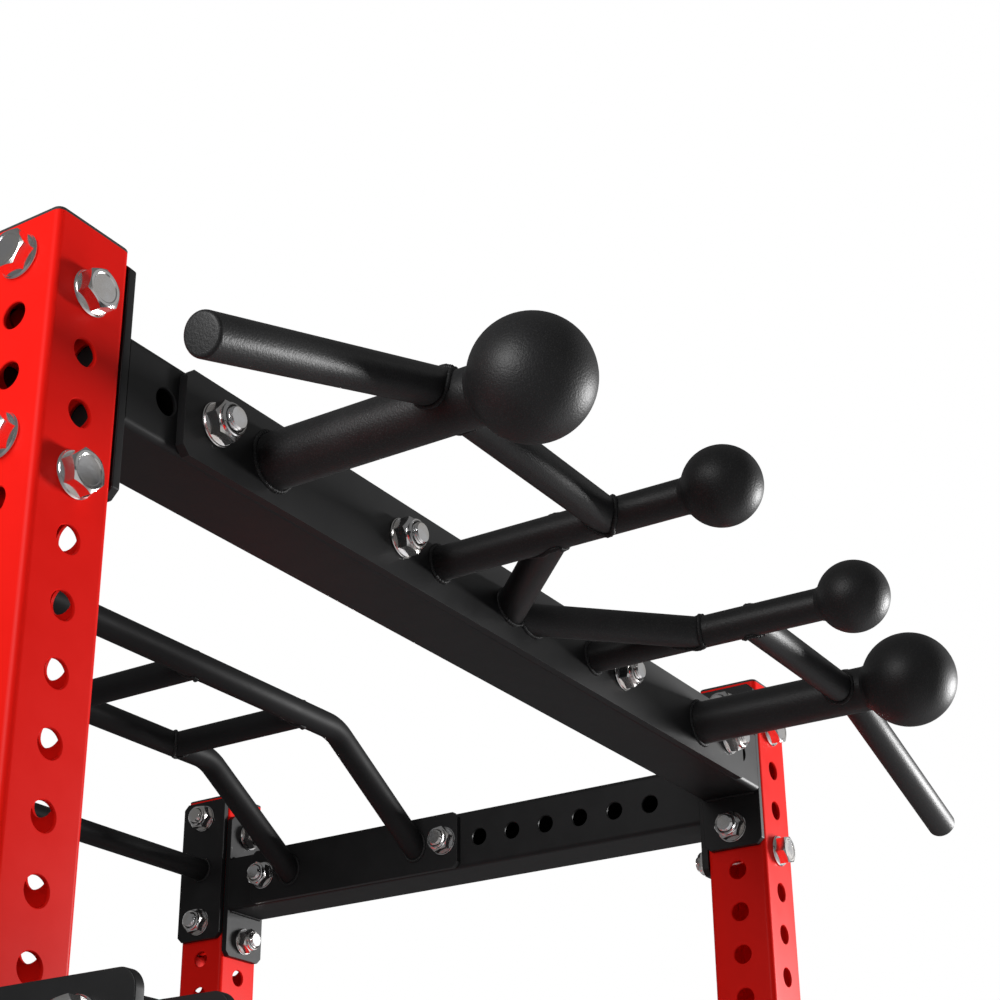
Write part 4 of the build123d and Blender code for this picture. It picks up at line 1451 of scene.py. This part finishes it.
@dataclass
class GlobeFrame:
    """The pull-up frame in front: globes on arms, struts, cross grips and angled handles."""

    layout: Layout
    bar: RoundBar
    welds: Welds
    bolts: Fasteners
    plate_y: float = -458.0
    axis_z: float = 2161.0
    grip: float = 32.0
    outer_arm: float = 48.0
    outer_x: float = 380.0
    inner_x: float = 139.5
    outer_ball: tuple[float, float] = (-704.0, 50.0)     # middle, radius
    inner_ball: tuple[float, float] = (-742.0, 35.0)
    # The weld between arm and globe: how far before the globe, and how far out of the arm.
    neck: Profile = ((4.6, 0.35), (2.6, 0.9), (1.0, 1.9))
    neck_reach: float = 7.0
    neck_rise: float = 3.0
    ball_steps: int = 32
    strut_x: float = 18.5
    strut_y: float = -579.0
    strut_sink: float = 16.0
    cross_y: float = -633.0
    sink: float = 3.0                # how far a bar runs into the next
    outer_sink: float = 12.0
    handle_y: float = -628.0
    handle_rise: float = 14.0
    handle_tip: float = 660.0
    handle_slope: float = 18.3
    handle_start: Profile = ((0.6, 0.55), (2.5, 0.8), (5.5, 0.95), (9.0, 1.0))   # along, share of radius
    tip_ease: float = 3.0
    bolt_x: tuple[float, ...] = (-450.0, -200.0, 200.0, 450.0)

    def build(self) -> None:
        """Makes the frame, its welds and its fasteners."""
        eased("globe_mount_plate", BLACK_PAINT, 1.4, 3)
        struts, grips = [], []
        z, weld, ahead = self.axis_z, "globe_frame_welds", (0, 1, 0)
        for side in SIDES:
            sign, label = side.value, side.label
            for kind, arm_kind, x, arm, (ball_y, radius) in (
                    ("large", "outer", self.outer_x, self.outer_arm, self.outer_ball),
                    ("small", "inner", self.inner_x, self.grip, self.inner_ball)):
                root, node = (sign * x, self.plate_y, z), f"{arm_kind}_arm_{label}"
                mesh = self.bar.swept(node, [[root, (sign * x, ball_y + radius / 2, z)]], arm)
                piece(f"{node}_bar", mesh, GRIP_PAINT, FRAME_BODY, [node])
                self._ball(f"{kind}_globe_{label}", (sign * x, ball_y, z), radius, arm / 2)
                self.welds.on_plane(weld, root, ahead, arm, ahead)
            struts.append([(sign * (self.strut_x - self.strut_sink), self.plate_y + self.strut_sink, z),
                           (sign * (self.inner_x - self.sink), self.strut_y + self.sink, z)])
            foot, lean = (sign * self.strut_x, self.plate_y, z), (sign, -1, 0)
            inner = ((sign * self.inner_x, 0, z), ahead, self.grip)
            outer = ((sign * self.outer_x, 0, z), ahead, self.outer_arm)
            self.welds.on_plane(weld, foot, lean, self.grip, ahead)
            self.welds.on_bar(weld, foot, lean, self.grip, *inner)
            grips.append([(sign * (self.inner_x + self.sink), self.cross_y, z),
                          (sign * (self.outer_x - self.outer_sink), self.cross_y, z)])
            middle = (sign * (self.inner_x + self.outer_x) / 2, self.cross_y, z)
            for way, arm in ((-sign, inner), (sign, outer)):
                self.welds.on_bar(weld, middle, (way, 0, 0), self.grip, *arm)
            self._handle(side)
        mesh = trimmed(self.bar.swept("struts", struts, self.grip), (0, self.plate_y + 1, 0), ahead)
        piece("centre_struts_bars", polished(mesh, ROUND_SHARP), GRIP_PAINT, FRAME_BODY, ["centre_struts"])
        mesh = self.bar.swept("grips", grips, self.grip)
        piece("cross_grips_bars", mesh, GRIP_PAINT, FRAME_BODY, ["cross_grips"])
        grip = self.layout.grip
        seats = [Seat((x, self.plate_y + grip, self.layout.row_z), (0, -1, 0)) for x in self.bolt_x]
        self.bolts.fasten("globe", seats, grip)

    def _ball(self, node: str, middle: Point, radius: float, arm: float) -> None:
        """A globe that runs into its arm through a small smooth weld.

        Args:
            node: The CAD node that it stands for.
            middle: The globe's middle, in millimetres.
            radius: Its radius.
            arm: The arm's radius.
        """
        rise = math.asin((arm + self.neck_rise) / radius)
        edge = -radius * math.cos(rise)
        profile = [(edge - self.neck_reach, 0.0), (edge - self.neck_reach, arm * 0.9)]
        profile += [(edge - before, arm + out) for before, out in self.neck]
        for i in range(self.ball_steps):
            angle = (math.pi - rise) * (1 - i / self.ball_steps)
            profile.append((radius * math.cos(angle), radius * math.sin(angle)))
        mesh = turned(node, [*profile, (radius, 0.0)], middle, (0, -1, 0), 72)
        piece(f"{node}_ball", mesh, GRIP_PAINT, FRAME_BODY, [node])

    def _handle(self, side: Side) -> None:
        """An angled handle with an eased tip, and its weld to the arm.

        Args:
            side: Which side it is on.
        """
        sign, node, ease = side.value, f"angled_handle_{side.label}", self.tip_ease
        slope = math.radians(self.handle_slope)
        start = (sign * self.outer_x, self.handle_y, self.axis_z + self.handle_rise)
        way = (sign * math.cos(slope), 0.0, -math.sin(slope))
        length, radius = (self.handle_tip - self.outer_x) / math.cos(slope), self.grip / 2
        profile = [(0.0, 0.0)] + [(along, radius * share) for along, share in self.handle_start]
        profile += [(length - ease + ease * math.sin(a), radius - ease + ease * math.cos(a))
                    for a in np.linspace(0, math.pi / 2, 6)]
        mesh = turned(node, [*profile, (length, 0.0)], start, way, 44)
        piece(f"{node}_bar", mesh, GRIP_PAINT, FRAME_BODY, [node])
        outside = tuple(s + w * 90 for s, w in zip(start, way))
        self.welds.on_bar("globe_frame_welds", outside, tuple(-w for w in way), self.grip,
                          (sign * self.outer_x, 0, self.axis_z), (0, 1, 0), self.outer_arm)


@dataclass
class MultiGrip:
    """The multi-grip bar: two bent bars, four rungs and their plates."""

    layout: Layout
    bar: RoundBar
    welds: Welds
    bolts: Fasteners
    middle_y: float = 150.0
    half_gap: float = 104.0
    half_run: float = 363.0
    level_z: float = 2250.0
    bend: float = 60.0
    grip: float = 32.0
    half_span: float = 542.0
    past: float = 30.0               # how far the bars run on before they are trimmed
    rung_sink: float = 3.0
    bolt_half: float = 150.0
    rungs: tuple[float, ...] = (-300.0, -100.0, 100.0, 300.0)

    def build(self) -> None:
        """Makes the bars, rungs, plates, welds and fasteners."""
        lay, weld = self.layout, "multigrip_welds"
        eased("multigrip_plates", BLACK_PAINT, 1.0)
        fall = (self.level_z - lay.side_z) / (self.half_span - self.half_run)
        end_x, end_z = self.half_span + self.past, lay.side_z - self.past * fall
        for end, sy in ENDS.items():
            y = self.middle_y + sy * self.half_gap
            run = [(-end_x, y, end_z), (-self.half_run, y, self.level_z), (self.half_run, y, self.level_z),
                   (end_x, y, end_z)]
            mesh = self.bar.swept(f"long_{end}", [run], self.grip, self.bend)
            for sign in BOTH:
                mesh = trimmed(mesh, (sign * (self.half_span + 1), 0, 0), (sign, 0, 0))
                self.welds.on_plane(weld, (sign * self.half_span, y, lay.side_z), (sign, 0, -fall),
                                    self.grip, (1, 0, 0))
            node = f"multigrip_bar_{end}"
            piece(f"{node}_bent", polished(mesh, ROUND_SHARP), BAR_PAINT, FRAME_BODY, [node])
        reach = self.half_gap - self.rung_sink
        runs = [[(x, self.middle_y + sign * reach, self.level_z) for sign in BOTH] for x in self.rungs]
        mesh = self.bar.swept("rungs", runs, self.grip)
        piece("multigrip_rung_bars", mesh, BAR_PAINT, FRAME_BODY, ["multigrip_rungs"])
        for x in self.rungs:
            for sign in BOTH:
                side_bar = (0, self.middle_y + sign * self.half_gap, self.level_z)
                self.welds.on_bar(weld, (x, self.middle_y, self.level_z), (0, sign, 0), self.grip,
                                  side_bar, (1, 0, 0), self.grip)
        seats = [Seat((side.value * lay.half_width, self.middle_y + s * self.bolt_half, lay.side_z),
                      (-side.value, 0, 0)) for side in SIDES for s in BOTH]
        self.bolts.fasten("multigrip", seats, lay.grip)


@dataclass
class BarHooks:
    """The bracket plates on the front uprights, with the swinging hooks and their lock pins."""

    layout: Layout
    bolts: Fasteners
    plate: float = 8.0
    pivot: tuple[float, float] = (-539.0, 1660.0)
    spacer: tuple[float, float] = (-360.0, 1660.0)
    spacer_radii: tuple[float, float] = (15.0, 10.05)
    stop: tuple[float, float] = (-498.7, 1585.0)
    stop_radius: float = 10.0
    lock_z: float = 1588.0
    side_gap: float = 0.3
    pin_tail: float = 14.0
    pin: FlutedPin = FlutedPin(10.0, (21.0, 26.0))

    def build(self) -> None:
        """Makes plates, liners, spacers, hooks, pins and fasteners."""
        eased("hook_bracket_plates", BLACK_PAINT, 1.2)
        eased("hook_bracket_liners", LINER_PLASTIC, 1.6)
        tube, radius = self.layout.tube, self.stop_radius
        grip = tube + 2 * self.plate
        stop = [(0.0, 0.0), (0.0, radius), (tube, radius), (tube, 0.0)]
        spacers, seats = [], []
        for side in SIDES:
            x, sign = side.value * self.layout.upright_x, side.value
            inside = x - tube / 2
            spacers.append(sleeve("spacer", (inside, *self.spacer), (1, 0, 0), tube, *self.spacer_radii, 1.0))
            spacers.append(turned("stop", stop, (inside, *self.stop), (1, 0, 0), 36))
            seats += [Seat((x + sign * grip / 2, y, z), (-sign, 0, 0)) for y, z in (self.pivot, self.spacer)]
            eased(f"bar_hook_{side.label}", BLACK_PAINT, 1.5, 3)
            eased(f"bar_hook_liner_{side.label}", LINER_PLASTIC, 1.2)
            start = (x - sign * (grip / 2 + self.pin_tail), -self.layout.upright_y, self.lock_z)
            self.pin.make(f"hook_lock_pin_{side.label}", start, (sign, 0, 0),
                          grip + self.pin_tail + self.side_gap)
        piece("hook_bracket_spacer_bars", joined("spacers", spacers), BLACK_PAINT, FRAME_BODY,
              ["hook_bracket_spacers"])
        self.bolts.fasten("bracket", seats, grip)


@dataclass
class Safeties:
    """The pin-and-pipe safeties between the front and rear uprights."""

    layout: Layout
    level_z: float = 813.0
    half_pipe: float = 373.0
    radii: tuple[float, float] = (30.0, 26.0)
    bush: float = 30.0
    pin_gap: float = 0.05
    tail: float = 15.0
    side_gap: float = 0.3
    pin: FlutedPin = FlutedPin(10.0, (21.0, 30.0))

    def build(self) -> None:
        """Makes the pipes, bushes and pins."""
        outer, inner = self.radii
        z, half, depth = self.level_z, self.half_pipe, self.layout.half_depth
        for side in SIDES:
            x, label = side.value * self.layout.upright_x, side.label
            pipe = sleeve("pipe", (x, -half, z), (0, 1, 0), 2 * half, outer, inner, 0.8)
            node = f"safety_pipe_{label}"
            piece(f"{node}_tube", pipe, BLACK_PAINT, body_of_node(node), [node])
            bore = self.pin.radius + self.pin_gap
            ends = [sleeve("bush", (x, y, z), (0, 1, 0), self.bush, inner, bore, 1.2)
                    for y in (-half, half - self.bush)]
            node = f"safety_pipe_bushes_{label}"
            piece(f"{node}_turned", joined("bushes", ends), LINER_PLASTIC, body_of_node(node), [node])
            self.pin.make(f"safety_pin_{label}", (x, depth + self.tail, z), (0, -1, 0),
                          2 * depth + self.tail + self.side_gap)


# ---------------------------------------------------------------- studio
@dataclass(frozen=True)
class SoftBox:
    """A square studio light."""

    name: str
    place: Point
    aim: Point
    size: float
    watts: float
    spread: float = 180.0            # degrees, narrower behind a grid

    def hang(self) -> None:
        """Puts the light in the scene."""
        lamp = bpy.data.lights.new(self.name, "AREA")
        lamp.shape, lamp.size, lamp.energy = "SQUARE", self.size, self.watts
        lamp.spread = math.radians(self.spread)
        made = bpy.data.objects.new(self.name, lamp)
        made.location = self.place
        made.rotation_euler = (Vector(self.aim) - Vector(self.place)).to_track_quat("-Z", "Y").to_euler()
        bpy.context.scene.collection.objects.link(made)


@dataclass(frozen=True)
class Studio:
    """Pale floor, soft light and the camera."""

    eye: Point = (-1.435783, -1.340344, 1.449488)
    heading: float = 32.273          # from +X towards +Y
    climb: float = 23.614
    roll: float = -0.604
    lens: float = 68.197
    sensor: float = 36.0
    lift: float = 0.09               # of the frame
    sky: float = 0.14
    floor_reach: float = 9.0
    floor_drop: float = 0.0005
    floor_colour: Point = (0.68, 0.68, 0.69)
    boxes: tuple[SoftBox, ...] = (
        SoftBox("left_box", (-2.1, -0.35, 2.5), (-0.62, -0.38, 2.35), 1.0, 9.0, 90.0),
        SoftBox("right_box", (3.3, -2.6, 2.1), (-0.1, -0.62, 2.1), 0.9, 200.0),
        SoftBox("high_box", (2.5, -2.4, 3.8), (-0.4, -0.5, 2.1), 2.6, 5.0),
        SoftBox("front_box", (-0.4, -4.2, 1.4), (0.0, 0.0, 1.6), 2.4, 6.0),
        SoftBox("rear_box", (0.6, 3.8, 2.8), (0.0, 0.0, 1.2), 2.4, 5.0))

    def build(self) -> None:
        """Sets the stage."""
        for box in self.boxes:
            box.hang()
        self._floor()
        self._sky()
        self._camera()
        bpy.context.scene.view_settings.view_transform = "Standard"

    def _floor(self) -> None:
        """A pale floor under the feet."""
        corners = ((-1, -1), (1, -1), (1, 1), (-1, 1))
        points = [(x * self.floor_reach, y * self.floor_reach, -self.floor_drop) for x, y in corners]
        mesh = made_of("floor", points, [(0, 1, 2, 3)])
        paint = bpy.data.materials.new("pale_floor")
        paint.use_nodes = True
        shader = paint.node_tree.nodes["Principled BSDF"]
        shader.inputs["Base Color"].default_value = (*self.floor_colour, 1.0)
        shader.inputs["Roughness"].default_value = 0.7
        mesh.materials.append(paint)
        floor = bpy.data.objects.new("floor", mesh)
        bpy.context.scene.collection.objects.link(floor)

    def _sky(self) -> None:
        """White behind everything, softer as a light than as a background."""
        world = bpy.data.worlds.new("studio")
        bpy.context.scene.world = world
        world.use_nodes = True
        world.node_tree.nodes.clear()
        board = Board(world.node_tree)
        seen = board.number("ShaderNodeLightPath", None, None, "Is Camera Ray")
        glow = board.out("ShaderNodeBackground", None,
                         {"Color": (1.0, 1.0, 1.0, 1.0), "Strength": seen * (1.0 - self.sky) + self.sky})
        board.node("ShaderNodeOutputWorld", None, {"Surface": glow})

    def _camera(self) -> None:
        """The camera, low in front of the left upright and looking up."""
        a, e, roll = (math.radians(v) for v in (self.heading, self.climb, self.roll))
        ahead = Vector((math.cos(a) * math.cos(e), math.sin(a) * math.cos(e), math.sin(e)))
        level = Vector((math.sin(a), -math.cos(a), 0.0))
        above = level.cross(ahead)
        right = math.cos(roll) * level + math.sin(roll) * above
        up = -math.sin(roll) * level + math.cos(roll) * above
        lens = bpy.data.cameras.new("camera")
        lens.lens, lens.sensor_width, lens.shift_y = self.lens, self.sensor, self.lift
        lens.clip_start = 0.05
        camera = bpy.data.objects.new("camera", lens)
        turn = Matrix((right, up, -ahead)).transposed().to_4x4()
        camera.matrix_world = Matrix.Translation(self.eye) @ turn
        bpy.context.scene.collection.objects.link(camera)
        bpy.context.scene.camera = camera


def main() -> None:
    """Builds the cage piece by piece, then the studio."""
    logging.basicConfig(level=logging.INFO, format="%(name)s: %(message)s")
    layout, tube, bar = Layout.read(), PunchedTube(), RoundBar()
    bolts, welds = Fasteners(), Welds()
    for assembly in (Uprights(layout, tube, welds), Crossmembers(layout, tube, bar, welds, bolts),
                     GlobeFrame(layout, bar, welds, bolts), MultiGrip(layout, bar, welds, bolts),
                     BarHooks(layout, bolts), Safeties(layout)):
        assembly.build()
        log.info("%s done", type(assembly).__name__)
    welds.finish({"foot_welds": RED_PAINT, "crossmember_welds": BLACK_PAINT,
                  "globe_frame_welds": BLACK_PAINT, "multigrip_welds": BLACK_PAINT})
    Studio().build()


if __name__ == "__main__":
    main()
